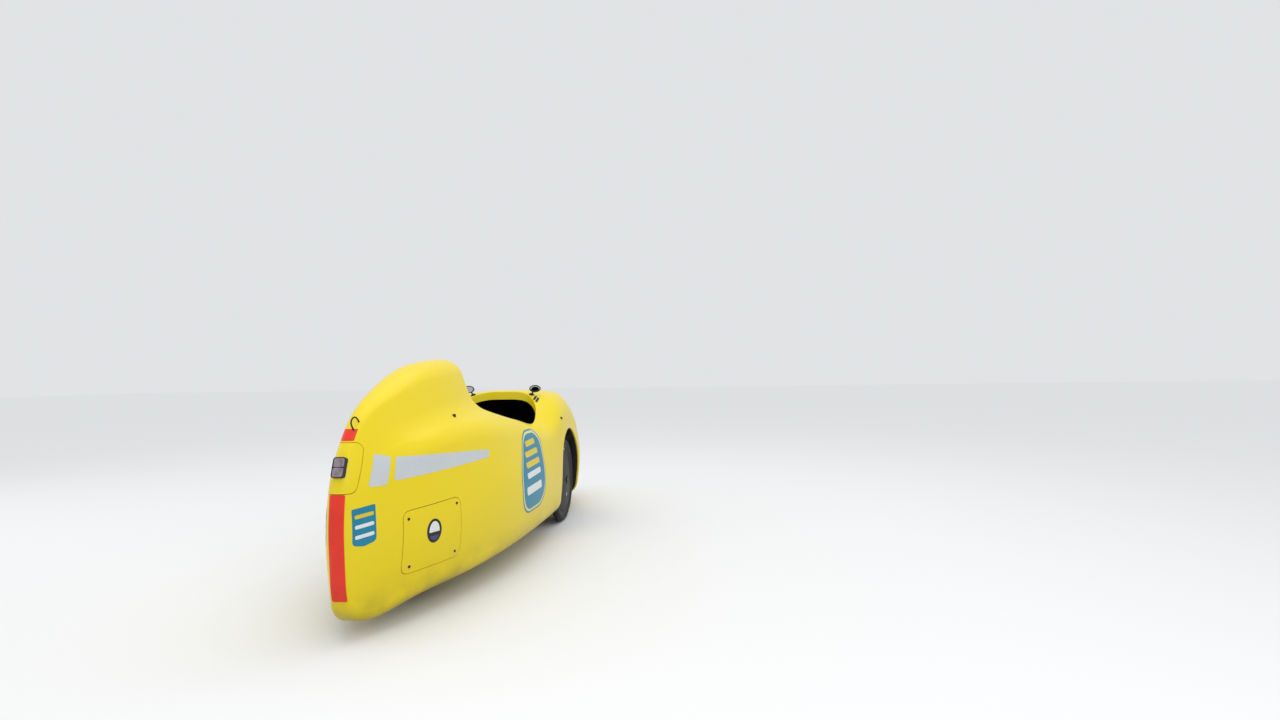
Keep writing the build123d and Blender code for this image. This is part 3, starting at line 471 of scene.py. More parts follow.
def ring(row, arc_steps=8, run_steps=3):
    """One section as points: an arc at each corner, then a few points along each run between."""
    half = [(row[i + 1], row[i]) for i in range(1, 11, 2)]
    corners = half + [(-y, z) for y, z in reversed(half)]
    radii = soft_radii(corners, shell_softness + shell_softness[::-1])
    arcs = np.array(rounded(corners, radii, arc_steps)).reshape(len(corners), -1, 2)
    ends, beyond = arcs[:, -1:], np.roll(arcs, -1, 0)[:, :1]
    runs = [ends + (beyond - ends) * k / run_steps for k in range(1, run_steps)]
    return np.concatenate([arcs] + runs, 1).reshape(-1, 2)


def natural_spline(at, values, wanted):
    """Natural cubic spline through rows of values, read at the wanted places."""
    count = len(at)
    gaps = np.diff(at)
    system = np.zeros((count, count))
    target = np.zeros_like(values)
    system[0, 0] = system[-1, -1] = 1
    for i in range(1, count - 1):
        system[i, i - 1:i + 2] = gaps[i - 1], 2 * (gaps[i - 1] + gaps[i]), gaps[i]
        target[i] = 6 * ((values[i + 1] - values[i]) / gaps[i] - (values[i] - values[i - 1]) / gaps[i - 1])
    bends = np.linalg.solve(system, target)
    low = np.clip(np.searchsorted(at, wanted) - 1, 0, count - 2)
    high = low + 1
    since, until, gap = (wanted - at[low])[:, None], (at[high] - wanted)[:, None], gaps[low][:, None]
    return (
        (bends[low] * until ** 3 + bends[high] * since ** 3) / (6 * gap)
        + (values[low] / gap - bends[low] * gap / 6) * until
        + (values[high] / gap - bends[high] * gap / 6) * since
    )


def hull_grid(stations):
    """Rings of the skin at even steps from tail to nose."""
    rings = np.array([ring(row) for row in shell_rows])
    xs = np.array([row[0] for row in shell_rows], float)
    full = np.concatenate([np.repeat(xs[:, None, None], rings.shape[1], 1), rings], 2) * MM
    steps = np.sqrt(((full[1:] - full[:-1]) ** 2).sum(-1)).mean(1)
    at = np.concatenate([[0], np.cumsum(steps)])
    flat = natural_spline(at, full.reshape(len(xs), -1), np.linspace(0, at[-1], stations))
    return flat.reshape(stations, -1, 3) * (1, fit_width, fit_height)


def closed_hull(stations):
    """Points and triangles of the whole hull, its two ends closed by shrinking rings."""
    grid = hull_grid(stations)
    tail, nose = grid[0].mean(0), grid[-1].mean(0)
    layers = [tail + (grid[0] - tail) * scale for scale in end_scales] + list(grid)
    layers += [nose + (grid[-1] - nose) * scale for scale in end_scales[::-1]]
    around = np.arange(grid.shape[1])
    following = np.roll(around, -1)
    quads = np.array(grid_faces(len(layers), len(around))) + 1
    halves = quads[:, [[0, 1, 2], [0, 2, 3]]].reshape(-1, 3)
    last = 1 + (len(layers) - 1) * len(around)
    tail_fan = np.stack([0 * around, 1 + following, 1 + around], 1)
    nose_fan = np.stack([last + around, last + following, 0 * around + last + len(around)], 1)
    faces = np.concatenate([tail_fan, halves, nose_fan])
    return np.concatenate([[tail], *layers, [nose]]), faces


hull_points, hull_faces = closed_hull(hull_stations)
corner_a, corner_b, corner_c = (hull_points[hull_faces[:, i]] for i in range(3))
face_normals = np.cross(corner_b - corner_a, corner_c - corner_a)
hull_normals = np.zeros_like(hull_points)
for i in range(3):
    np.add.at(hull_normals, hull_faces[:, i], face_normals)
hull_normals /= np.linalg.norm(hull_normals, axis=1)[:, None] + 1e-12
hull_tree = BVHTree.FromPolygons(hull_points.tolist(), hull_faces.tolist())


def smooth_normal(point):
    """The skin's smooth normal at the hull point nearest to a point."""
    place, _, index, _ = hull_tree.find_nearest(Vector(point))
    a, b, c = hull_points[hull_faces[index]] - np.array(place)
    shares = [np.linalg.norm(np.cross(p, q)) for p, q in ((b, c), (c, a), (a, b))]
    normal = shares @ hull_normals[hull_faces[index]]
    return normal / (np.linalg.norm(normal) + 1e-12)


def on_hull(view, a, b):
    """Point of the skin seen along an axis: right and left take x and z in mm, tail y and z, top x and y."""
    a, b = a * MM, b * MM
    start, way = {
        "right": ((a, -2, b), (0, 1, 0)), "left": ((a, 2, b), (0, -1, 0)),
        "tail": ((-3, a, b), (1, 0, 0)), "top": ((a, b, 3), (0, 0, -1)),
    }[view]
    place = hull_tree.ray_cast(Vector(start), Vector(way))[0]
    if place is None:
        place = hull_tree.find_nearest(Vector(start) + Vector(way) * missed_reach)[0]
    return np.array(place)


# Cutting the skin, and sheets that lie on it
def prism(outline, view, near, far):
    """A closed form drawn out along an axis: side takes x and z in mm, end y and z, plan x and y."""
    order = {"side": (0, 2, 1), "end": (2, 0, 1), "plan": (0, 1, 2)}[view]
    points = [[(a, b, depth)[i] * MM for i in order] for depth in (far, near) for a, b in outline]
    return points, grid_faces(2, len(outline), caps=True)


hull_mesh = mesh_from("hull", hull_points, hull_faces)
for label in ("skin_side", "cut_side"):
    hull_mesh.materials.append(bpy.data.materials.new(label))


def cut_hull(prisms, operation):
    """Points and faces of the skin that a boolean leaves, without the faces that the cutters add."""
    points, faces = [], []
    for some_points, some_faces in prisms:
        faces += [[len(points) + i for i in face] for face in some_faces]
        points += some_points
    mesh = mesh_from("cutter", points, faces, False, [1] * len(faces))
    flat_angles(mesh)
    for material in hull_mesh.materials:
        mesh.materials.append(material)
    cutter = bpy.data.objects.new("cutter", mesh)
    show(cutter)
    result = settled(hull_mesh.copy(), "BOOLEAN", operation=operation, solver="EXACT", object=cutter)
    bpy.data.objects.remove(cutter)
    work = bmesh.new()
    work.from_mesh(result)
    bmesh.ops.delete(work, geom=[f for f in work.faces if f.material_index == 1], context="FACES")
    bmesh.ops.remove_doubles(work, verts=work.verts, dist=1e-5)
    bmesh.ops.dissolve_degenerate(work, edges=work.edges, dist=1e-5)
    bmesh.ops.triangulate(work, faces=[f for f in work.faces if len(f.verts) > 4])
    work.verts.index_update()
    points = np.array([v.co[:] for v in work.verts])
    faces = [[v.index for v in f.verts] for f in work.faces]
    work.free()
    return points, faces


def thick_skin(name, points, faces, thickness, lift, materials, replaces=()):
    """Give an open skin a thickness inward, with smooth normals from the hull. Slot 1 is its inner side."""
    normals = np.array([smooth_normal(p) for p in points])
    count = len(points)
    edges = dict.fromkeys((a, b) for face in faces for a, b in zip(face, face[1:] + face[:1]))
    border = [(a, b) for a, b in edges if (b, a) not in edges]
    all_faces = [list(f) for f in faces]
    all_faces += [[count + i for i in reversed(f)] for f in faces]
    all_faces += [[b, a, count + a, count + b] for a, b in border]
    mesh = bpy.data.meshes.new(name)
    both = np.concatenate([points + normals * lift, points + normals * (lift - thickness)])
    mesh.from_pydata(both.tolist(), [], all_faces)
    mesh.polygons.foreach_set("use_smooth", [True] * len(all_faces))
    mesh.polygons.foreach_set("material_index", [0] * len(faces) + [1] * len(faces) + [0] * len(border))
    corner_normals = [tuple(normals[i]) for f in faces for i in f]
    corner_normals += [tuple(-normals[i]) for f in faces for i in reversed(f)]
    for polygon in mesh.polygons[2 * len(faces):]:
        corner_normals += [tuple(polygon.normal)] * 4
    mesh.normals_split_custom_set(corner_normals)
    return add_piece(name, mesh, materials, replaces=replaces)


def patch(name, outline, view, lift, material, step=14.0, thickness=0.0, replaces=()):
    """A thin sheet on the skin: an outline seen along an axis, cut into squares and dropped on the hull."""
    flat = bmesh.new()
    flat.faces.new([flat.verts.new((a, b, 0)) for a, b in outline])
    low, high = np.min(outline, 0), np.max(outline, 0)
    for axis, way in ((0, Vector((1, 0, 0))), (1, Vector((0, 1, 0)))):
        for value in np.arange(math.ceil(low[axis] / step) * step, high[axis], step):
            everything = flat.verts[:] + flat.edges[:] + flat.faces[:]
            bmesh.ops.bisect_plane(flat, geom=everything, dist=1e-4, plane_co=way * value, plane_no=way)
    bmesh.ops.triangulate(flat, faces=flat.faces[:])
    flat.verts.index_update()
    points = np.array([on_hull(view, v.co.x, v.co.y) for v in flat.verts])
    faces = [[v.index for v in f.verts] for f in flat.faces]
    flat.free()
    a, b, c = points[faces[0]]
    if np.cross(b - a, c - a) @ smooth_normal(a) < 0:
        faces = [f[::-1] for f in faces]
    if thickness:
        return thick_skin(name, points, faces, thickness * MM, lift * MM, [material, material], replaces)
    normals = np.array([smooth_normal(p) for p in points])
    mesh = bpy.data.meshes.new(name)
    mesh.from_pydata((points + normals * lift * MM).tolist(), [], faces)
    mesh.polygons.foreach_set("use_smooth", [True] * len(faces))
    mesh.normals_split_custom_set([tuple(normals[i]) for f in faces for i in f])
    return add_piece(name, mesh, [material], replaces=replaces)


def roll_edge(name, outline, view, roll_mm, depth_at, closed=True, replaces=()):
    """Turn the skin's cut edge inward: a rolled bead, then a wall along the view's axis, with a hem."""
    hem = 2.5
    outline = np.array(outline)
    before, after = np.roll(outline, 1, 0), np.roll(outline, -1, 0)
    turn = math.copysign(1, (before[:, 0] * outline[:, 1] - outline[:, 0] * before[:, 1]).sum())
    if not closed:
        before[0], after[-1] = outline[0], outline[-1]
    rows = []
    for point, tangent in zip(outline, after - before):
        into = np.array([-tangent[1], tangent[0]]) * turn / np.linalg.norm(tangent)
        place = on_hull(view, *point)
        if view == "top":
            u, w = np.array([*into, 0]), np.array([0, 0, 1.0])
        else:
            u, w = np.array([into[0], 0, into[1]]), np.array([0, -1.0 if view == "right" else 1.0, 0])
        flat = np.array([smooth_normal(place) @ u, smooth_normal(place) @ w])
        flat /= np.linalg.norm(flat)
        across = np.array([flat[1], -flat[0]])
        end = math.atan2(across[1], across[0]) + math.pi / 2
        path = [roll_mm * (flat * (math.cos(t) - 1) + across * math.sin(t)) for t in np.linspace(0, end, 7)]
        wall = depth_at(point[0])
        path += [path[-1] + (0, -wall), path[-1] + (-hem, -wall), path[-1] + (-hem, 0)]
        rows.append([place + (u * a + w * b) * MM for a, b in path])
    return surface(name, rows, [yellow], replaces=replaces, loop_rows=closed, loop_columns=False)


# Openings of the shell. Hatch, cap and headlight lens each sit in a hole a little larger than they are
arch_radius, arch_z, box_wall_y = 275, 268, 162
opening_half = [(-552, 153), (-385, 245), (60, 262), (235, 228), (362, 118)]
opening_shares = [0.25, 0.46, 0.46, 0.46, 0.46]
opening_corners = [(x, -y) for x, y in opening_half] + [(x, y) for x, y in reversed(opening_half)]
opening_radii = soft_radii(opening_corners, opening_shares + opening_shares[::-1])
opening_outline = rounded(opening_corners, opening_radii, 14)
arch_outline = arc((axle_x, arch_z), (arch_radius, arch_radius), 0, 180, 60)
arch_outline += [(axle_x - arch_radius, 0), (axle_x + arch_radius, 0)]
hatch_outline = rounded([(-1190, 180), (-951, 186), (-951, 404), (-1188, 392)], 25)
hatch_hole = rounded([(-1192, 178), (-949, 184), (-949, 406), (-1190, 394)], 27)
cap_outline = rounded([(-1420, 485), (-1335, 485), (-1274, 640), (-1420, 640)], 20)
cap_hole = rounded([(-1421, 483.2), (-1333.6, 483.2), (-1271.5, 641.8), (-1421, 641.8)], 21.5)
port_outline, port_hole = box(-75, 427, 75, 483, 27.9, 10), box(-76, 426, 76, 484, 28.9, 10)
slot_outline = box(-1085, -42, -455, 42, 41.9, 12)
shell_wall, lens_wall, cap_lift = 0.004, 0.003, 0.0003

# Each cutter reaches well past the skin, in mm along its axis
arch_start, past_side = box_wall_y + 3, 500
right_half, whole_tail, round_nose = (-past_side, 0), (-200, 200), (1150, 1450)
shell_cuts = [
    prism(opening_outline, "plan", 480, 1100),
    prism(arch_outline, "side", arch_start, past_side),
    prism(arch_outline, "side", -past_side, -arch_start),
    prism(slot_outline, "plan", -10, 130),
    prism(hatch_hole, "side", *right_half),
    prism(cap_hole, "side", *whole_tail),
    prism(port_hole, "end", *round_nose),
]
skins = [yellow, shell_inside]
thick_skin("shell_skin", *cut_hull(shell_cuts, "DIFFERENCE"), shell_wall, 0, skins,
           ("lower_shell", "front_deck", "tail_deck"))
panel_rows = (
    ("hatch_panel", prism(hatch_outline, "side", *right_half), shell_wall, 0, skins, "service_hatch"),
    ("cap_panel", prism(cap_outline, "side", *whole_tail), shell_wall, cap_lift, skins, "tail_cap"),
    ("nose_lens", prism(port_outline, "end", *round_nose), lens_wall, 0, [clear_lens] * 2, "headlight_lens"),
)
for name, cutter, wall, lift, materials, gone in panel_rows:
    thick_skin(name, *cut_hull([cutter], "INTERSECT"), wall, lift, materials, (gone,))

# Ledges that close the gaps round the hatch and the cap from behind
ledge_lift = -5.2
hatch_ledge = rounded([(-1204, 166), (-936, 172), (-936, 418), (-1202, 406)], 36)
cap_ledge = rounded([(-1362, 474), (-1328, 474), (-1262, 652), (-1362, 652)], 18)
patch("hatch_ledge", hatch_ledge, "right", ledge_lift, black_plastic, 20)
for side, _ in sides:
    patch(f"cap_ledge_{side}", cap_ledge, side, ledge_lift, black_plastic, 12)

# Turned-down edge of the cockpit, deeper toward its front, and the lips of the front arches
roll_edge("cockpit_lip", denser(opening_outline, 14), "top", 4.5, lambda x: np.interp(x, (60, 260), (26, 42)),
          replaces=("cockpit_rim",))
arch_visible = [p for p in denser(arch_outline, 8) if p[1] > 118]
first = max(range(len(arch_visible)), key=lambda i: arch_visible[i][0] - arch_visible[i][1] * 0.001)
arch_visible = arch_visible[first:] + arch_visible[:first]
for side, _ in sides:
    roll_edge(f"arch_lip_{side}", arch_visible, side, 3.0, lambda x: 6, closed=False)

# Grey reflective stripes on both flanks, red tape on the tail edge
film_lift, tape_lift, tape_thickness = 0.35, 1.2, 1.1
stripe_short = rounded([(-1205, 583), (-1254, 599), (-1296, 495), (-1235, 493)], 8)
stripe_long = rounded([(-1190, 580), (-1210, 502), (-737, 521), (-716, 551)], [7, 9, 9, 7])
for side, _ in sides:
    patch(f"stripe_short_{side}", stripe_short, side, film_lift, grey_tape)
    patch(f"stripe_long_{side}", stripe_long, side, film_lift, grey_tape)
for name, outline, gone in (("tail_tape", box(-25, 146, 25, 483, 5), "tail_reflector"),
                            ("upper_tape", box(-22, 646, 22, 682, 3), "upper_reflector")):
    patch(name, outline, "tail", tape_lift, red_tape, 4, tape_thickness, (gone,))

# A plain badge with an edge line and bars on each flank.
# Layers: name, inset, lift, material. Bars: low and high edge, half width, material.
badge_x, badge_z, badge_half, badge_lean = -318, 404, (180, 190), 0.25
badge_corners = [(-502, 226), (-182, 232), (-124, 592), (-348, 592), (-490, 405)]
badge_radii = [150, 128, 74, 125, 160]
badge_rows = (("blue_edge", 0, 0.35, blue_film), ("cream_edge", 8, 0.5, cream_film),
              ("blue_field", 18, 0.65, blue_film))
bar_rows = ((112, 138, 62, gold_film), (66, 92, 84, gold_film), (20, 46, 92, gold_film),
            (-26, 0, 92, white_film), (-96, -60, 100, white_film))
bar_rise = 8
for side, _ in sides:
    for label, inset, lift, material in badge_rows:
        share = 1 - inset / np.array(badge_half)
        shape = (badge_x, badge_z) + (np.array(badge_corners) - (badge_x, badge_z)) * share
        patch(f"{label}_{side}", rounded(shape, badge_radii, 16), side, lift, material)
    for i, (low, high, half, material) in enumerate(bar_rows):
        middle, low, high = badge_x + badge_lean * low, badge_z + low, badge_z + high
        shape = [(middle - half, low), (middle + half, low + bar_rise), (middle + half, high + bar_rise),
                 (middle - half, high)]
        patch(f"badge_bar_{i}_{side}", rounded(shape, 9), side, 0.8, material)

# A plain blue plaque with three bars near the tail on each flank
plaque = rounded([(-1350, 320), (-1316, 312), (-1277, 322), (-1277, 440), (-1350, 434)], [14, 30, 14, 5, 5])
for side, _ in sides:
    patch(f"plaque_{side}", plaque, side, film_lift, blue_film, 10)
    for i, (z, material) in enumerate(((410, gold_film), (378, white_film), (346, white_film))):
        shape = rounded([(-1343, z - 8), (-1284, z - 4), (-1284, z + 8), (-1343, z + 4)], 4)
        patch(f"plaque_bar_{i}_{side}", shape, side, 0.65, material, 10)

# A plain disc sticker on the hatch, its middle in two halves
sticker_middle = ellipse(-1075, 305, 21, 33)
patch("sticker_disc", ellipse(-1075, 305, 30, 42), "right", film_lift, black_film, 10)
patch("sticker_top", [p for p in sticker_middle if p[1] > 298], "right", 0.6, white_film, 10)
patch("sticker_low", [p for p in sticker_middle if p[1] < 291], "right", 0.6, navy_film, 10)

# Screws of the hatch, and studs for a cockpit cover
screw_profile = [(0, 0.3), (1.6, 0.3), (1.9, 1.6), (3.2, 2.1), (4.6, 1.6), (5.2, 0.4), (5.2, -2.0)]
for i, (x, z) in enumerate(((-1170, 366), (-968, 381), (-974, 206), (-1163, 203))):
    place = on_hull("right", x, z)
    turned(f"hatch_screw_{i}", screw_profile, place, smooth_normal(place), dark_steel)
stud_profile = [(0, 7.5), (3.4, 7.5), (4.6, 7.0), (5.0, 5.9), (4.9, 4.4), (4.1, 3.6), (4.1, 2.6), (5.2, 1.7),
                (8.0, 1.4), (9.0, 0.6), (9.0, -3.0)]
stud_rows = ((-811, 694, (-0.14, 0.69, 0.71)), (280, 609, (-0.12, 0.94, 0.32)))
for side, sign in sides:
    for i, (x, z, lean) in enumerate(stud_rows):
        turned(f"stud_{i}_{side}", stud_profile, on_hull(side, x, z), (lean[0], sign * lean[1], lean[2]),
               black_plastic, replaces=("cover_studs",))

# Louvre slots in the deck beside each mirror
for side, sign in sides:
    for i, (x, y) in enumerate(((291, sign * 200), (276, sign * 217))):
        shape = box(x - 27, y - 6.5, x + 27, y + 6.5, 6, 5)
        patch(f"louvre_{i}_{side}", shape, "top", 0.7, black_plastic, 8, 0.6)

# Mirrors: a dished housing on a ball stalk, the glass facing backward
mirror_outline = ellipse(0, 0, 33, 21, 40)
head_levels = [(20, -10), (16, -9.6), (11, -8.6), (6, -6.4), (2.6, -2.6), (0.3, 2), (0, 6), (0.3, 8.8),
               (1.4, 9.8), (2.8, 10), (4.2, 9.4), (4.8, 8)]
glass_levels = [(4.9, 6.4), (4.9, 8), (6, 8.3), (10, 8.6), (16, 8.9)]
foot_profile = [(0, 4.0), (7, 4.0), (11.4, 3.2), (13.5, 1.4), (14, -0.6), (14, -6)]
stalk_profile = [(0, -1), (8.4, -1), (8.0, 2.6), (5.6, 4.8), (4.4, 8), (4.1, 19), (5.4, 22.5), (7.0, 26),
                 (7.0, 30), (5, 33.5), (0, 35)]
for side, sign in sides:
    gone = (f"mirror_{side}",)
    head = placed((316, sign * 195, 776), (0, 1, 0), (-1, 0, 0))
    foot = Vector((320, sign * 172, 744)) * MM
    stack(f"mirror_head_{side}", mirror_outline, head_levels, head, [black_plastic], replaces=gone)
    stack(f"mirror_pane_{side}", mirror_outline, glass_levels, head, [mirror_glass], replaces=gone)
    lean = (-0.25, sign * 0.2, 0.95)
    turned(f"mirror_foot_{side}", foot_profile, foot, lean, grip_rubber, 32, replaces=gone)
    turned(f"mirror_stalk_{side}", stalk_profile, foot, (-4, sign * 23, 32), black_plastic, 24, replaces=gone)

# Rear light: a black frame round two ribbed lenses
lamp_tilt = math.radians(17)
lamp_at = placed((-1345, 0, 565), (0, -1, 0), (-math.cos(lamp_tilt), 0, math.sin(lamp_tilt)))
frame_levels = [(0, -14), (0, 9.6), (0.5, 11.3), (1.3, 12), (2.0, 11.7), (2.4, 10.6), (2.5, 5)]
lens_levels = [(0, 4), (0, 9.0), (0.6, 10.1), (2.2, 10.9), (6, 11.4)]
stack("light_frame", plate(21, 33, 9), frame_levels, lamp_at, [black_plastic], replaces=("rear_light",))
for label, low, high in (("upper", 0.7, 30.4), ("lower", -30.4, -0.7)):
    middle = lamp_at @ Matrix.Translation((0, (low + high) / 2 * MM, 0))
    stack(f"light_lens_{label}", plate(18.4, (high - low) / 2, 5), lens_levels, middle, [smoked_lens],
          replaces=("rear_light",))

# Light cable: a short loop out of the skin and back in. The curve cuts its route's corners by a few percent
cable_route = [(-1260, -16, 704), (-1268, -15, 716), (-1280, -12, 722), (-1290, -9, 716), (-1295, -8, 704),
               (-1293, -10, 691), (-1286, -13, 679)]
curve = bpy.data.curves.new("cable_loop", "CURVE")
curve.dimensions = "3D"
curve.bevel_depth = 0.0026
curve.bevel_resolution = 4
curve.resolution_u = 16
spline = curve.splines.new("NURBS")
spline.points.add(len(cable_route) - 1)
for point, place in zip(spline.points, cable_route):
    point.co = (*(v * MM for v in place), 1)
spline.order_u = 3
spline.use_endpoint_u = True
curve.materials.append(sheath)
cable = bpy.data.objects.new("cable_loop", curve)
show(cable)
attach(cable, "chassis")
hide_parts("light_cable")

# Tyres. Half section from the bead to the middle: angle, depth of the ring groove, share of the lug cuts
tread_rows = ((118, 0, 0), (98, 0, 0), (82, 0.6, 0), (78, 0, 0), (64, 0, 0), (60, 0, 1), (38, 0, 1),
              (34, 0, 0), (25, 0, 0), (24, 1.1, 0), (20, 1.1, 0), (19, 0, 0), (6, 0, 0), (5, 0.9, 0),
              (1, 0.9, 0))
lug_steps, lug_depth, step_mm = 5, 1.5, 5
front_rim, front_width, rear_rim, rear_width = 203, 42, 279, 30


def tyre(name, centre, radius, rim_radius, width, body, node):
    """A tyre with ring grooves round the middle and lugs cut into both shoulders."""
    section = width / 2
    half = ((math.degrees(math.acos((rim_radius - radius + section) / section)), 0, 0),) + tread_rows
    full = list(half) + [(-angle, ring_depth, lug) for angle, ring_depth, lug in reversed(half)]
    rows = []
    for k, (c, s) in enumerate(circle(round(2 * math.pi * radius / step_mm / lug_steps) * lug_steps)):
        row = []
        for angle, ring_depth, lug in full:
            cut = (k + (2 if angle < 0 else 0)) % lug_steps < 2
            deep = section - ring_depth - lug_depth * lug * cut
            reach = radius - section + deep * math.cos(math.radians(angle))
            out = (reach * c, deep * math.sin(math.radians(angle)), reach * s)
            row.append([at + MM * v for at, v in zip(centre, out)])
        rows.append(row)
    return surface(name, rows, [tyre_rubber], body, (node,), 34, loop_rows=True)


# Front wheels: dished covers screwed to a flat rim, with the hub's end in the middle
rim_profile = [(188, -12), (196, -14), (201.5, -14.8), (203, -14), (203, 14), (201.5, 14.8), (196, 14),
               (188, 12)]
cover_face = [(28.5, 30), (60, 27.4), (100, 24), (150, 19), (188, 15), (195.5, 13.6)]
cover_out = [(24.5, 24), (24.5, 29), (26, 30), *cover_face, (195.5, 12.2), (188, 13.2), (150, 17.4),
             (100, 22.4), (60, 25.8), (30, 28)]
cover_in = [(44, -24.4), (50, -20.4), (120, -17.6), (195.5, -14.2), (195.5, -12.6), (120, -16), (52, -18.6),
            (46, -22)]
hub_profile = [(6.5, -25), (43, -25), (44.5, -24), (44.5, -20), (24, -18), (24, 26), (6.5, 26)]
wheel_rows = (("rim", rim_profile, anodised), ("cover_out", cover_out, disc_cover),
              ("cover_in", cover_in, disc_cover), ("hub", hub_profile, anodised))
mark_rows = (("bar", [(-18, 192), (-6, 194), (12, 172), (0, 170)]),
             ("wedge", [(8, -84), (36, -82), (22, -106)]))
cover_screw = [(0, 0.6), (1.5, 0.6), (1.8, 1.6), (3.4, 1.3), (4, 0.2), (4, -1)]
screw_count, screw_circle, mark_lift = 8, 181, 0.3
for side, sign in sides:
    centre, body = (axle_x * MM, sign * track_half * MM, front_radius * MM), f"wheel_{side}"
    tyre(f"tyre_{side}", centre, front_radius, front_rim, front_width, body, f"front_tyre_{side}")
    for label, profile, material in wheel_rows:
        closed = [(r, sign * offset) for r, offset in profile + profile[:1]]
        lathe(f"wheel_{label}_{side}", closed, centre, material, body, replaces=(f"wheel_disc_{side}",))

    def on_cover(a, b):
        out = np.interp(math.hypot(a, b), *zip(*cover_face)) + mark_lift
        return [at + MM * v for at, v in zip(centre, (a, sign * out, b))]

    for label, corners in mark_rows:
        name = f"cover_{label}_{side}"
        mesh = mesh_from(name, [on_cover(*p) for p in corners], [range(len(corners))], False)
        add_piece(name, mesh, [grey_tape], body)
    for k in range(screw_count):
        angle = 2 * math.pi * (k + 0.5) / screw_count
        spot = on_cover(screw_circle * math.cos(angle), screw_circle * math.sin(angle))
        turned(f"cover_screw_{k}_{side}", cover_screw, spot, (0, sign, 0.0), dark_steel, 14, body)
rear_centre = (rear_axle_x * MM, 0, rear_radius * MM)
tyre("tyre_rear", rear_centre, rear_radius, rear_rim, rear_width, "rear_wheel", "rear_tyre")

# Seat pad: a quilted cushion that lies in the bucket
seat_line = np.array([(70, 182), (-60, 145), (-215, 165), (-330, 300), (-560, 600), (-600, 660)], float)
pad_half, pad_low, pad_high, pad_length = 138, 7, 25, 870
channel_shares, channel_depth = (0.14, 0.27, 0.4, 0.53, 0.66, 0.79, 0.92), 6
channel_width, seam_width, top_from, top_fade = 6, 5, 14, 8
seam_y, seam_depth, most_swell = 108, 5, 0.005
line_trim, line_steps, line_passes = 12, 140, 60
end_part, end_narrowing, end_least = 0.06, 26, 0.02
side_power, top_power = 0.3, 0.6


def seat_run(count):
    """Places and upward normals along the seat's side line, its corners softened."""
    at = np.concatenate([[0], np.cumsum(np.linalg.norm(np.diff(seat_line, axis=0), axis=1))])
    where = np.linspace(line_trim, at[-1] - line_trim, line_steps)
    line = np.stack([np.interp(where, at, seat_line[:, i]) for i in (0, 1)], 1)
    for _ in range(line_passes):
        line[1:-1] = (line[:-2] + 2 * line[1:-1] + line[2:]) / 4
    even = np.linspace(0, line_steps - 1, count)
    line = np.stack([np.interp(even, np.arange(line_steps), line[:, i]) for i in (0, 1)], 1)
    ahead = np.gradient(line, axis=0)
    ahead /= np.linalg.norm(ahead, axis=1)[:, None]
    return line, np.stack([ahead[:, 1], -ahead[:, 0]], 1)


def pad_form(rings=90, around=56):
    """The pad before it swells: a flattened round section that thins toward its two ends."""
    points = []
    middle, half = (pad_low + pad_high) / 2, (pad_high - pad_low) / 2
    for i, (place, normal) in enumerate(zip(*seat_run(rings))):
        end = max(0.0, (abs(2 * i / (rings - 1) - 1) - (1 - end_part)) / end_part)
        full = math.sqrt(max(end_least, 1 - end ** 2))
        for c, s in circle(around):
            across = (pad_half - end_narrowing * (1 - full)) * math.copysign(abs(c) ** side_power, c)
            high = middle + half * full * math.copysign(abs(s) ** top_power, s)
            x, z = place + normal * high
            points.append((x * MM, across * MM, z * MM))
    return mesh_from("pad_form", points, grid_faces(rings, around, caps=True))


def coordinates(mesh):
    flat = np.empty(len(mesh.vertices) * 3)
    mesh.vertices.foreach_get("co", flat)
    return flat.reshape(-1, 3)


pad_mesh = settled(pad_form(), "REMESH", mode="VOXEL", voxel_size=0.006)
before = coordinates(pad_mesh)
swollen = settled(pad_mesh.copy(), "CLOTH")
bpy.context.scene.frame_set(1)
move = coordinates(swollen) - before
length = np.linalg.norm(move, axis=1)[:, None] + 1e-12
pad_mesh.vertices.foreach_set("co", (before + move * np.minimum(1, most_swell / length)).ravel())
pad_mesh = settled(pad_mesh, "SUBSURF", levels=1)

# Sewn channels across the pad and a seam down each side of its top
line, line_normal = seat_run(400)
spots = coordinates(pad_mesh)
nearest = np.array([np.argmin(((line - spot[[0, 2]] / MM) ** 2).sum(1)) for spot in spots])
high = ((spots[:, [0, 2]] / MM - line[nearest]) * line_normal[nearest]).sum(1)
share = nearest / (len(line) - 1)
across = np.abs(spots[:, 1]) / MM
channel = sum(np.exp(-((share - at) * pad_length / channel_width) ** 2) for at in channel_shares)
channel *= across < seam_y - 2
side_seam = np.exp(-((across - seam_y) / seam_width) ** 2)
on_top = np.clip((high - top_from) / top_fade, 0, 1)
sink = (np.clip(channel, 0, 1) * channel_depth + side_seam * seam_depth) * on_top
spots[:, [0, 2]] -= line_normal[nearest] * sink[:, None] * MM
pad_mesh.vertices.foreach_set("co", spots.ravel())
pad_mesh.polygons.foreach_set("use_smooth", [True] * len(pad_mesh.polygons))
pad = add_piece("seat_cushion", pad_mesh, [seat_mesh], "chassis", ("seat_pad",))

# Headlight bowl and lamps behind the lens in the nose
bowl_levels = [(10, -30), (2, -26), (0, -4), (0, 0), (2, 0.5), (5, -2), (14, -20), (20, -24)]
eye_profile = [(0, 2), (8, 1), (13, -2), (15, -8), (15, -14)]
stack("lamp_bowl", plate(72, 25, 24.5, 10), bowl_levels, placed((1284, 0, 455), (0, 1, 0), (1, 0, 0)),
      [black_plastic, mirror_glass], first_bands=5)
for i, y in enumerate((-36, 36)):
    turned(f"lamp_eye_{i}", eye_profile, Vector((1274, y, 455)) * MM, (1, 0, 0), clear_lens, 28)

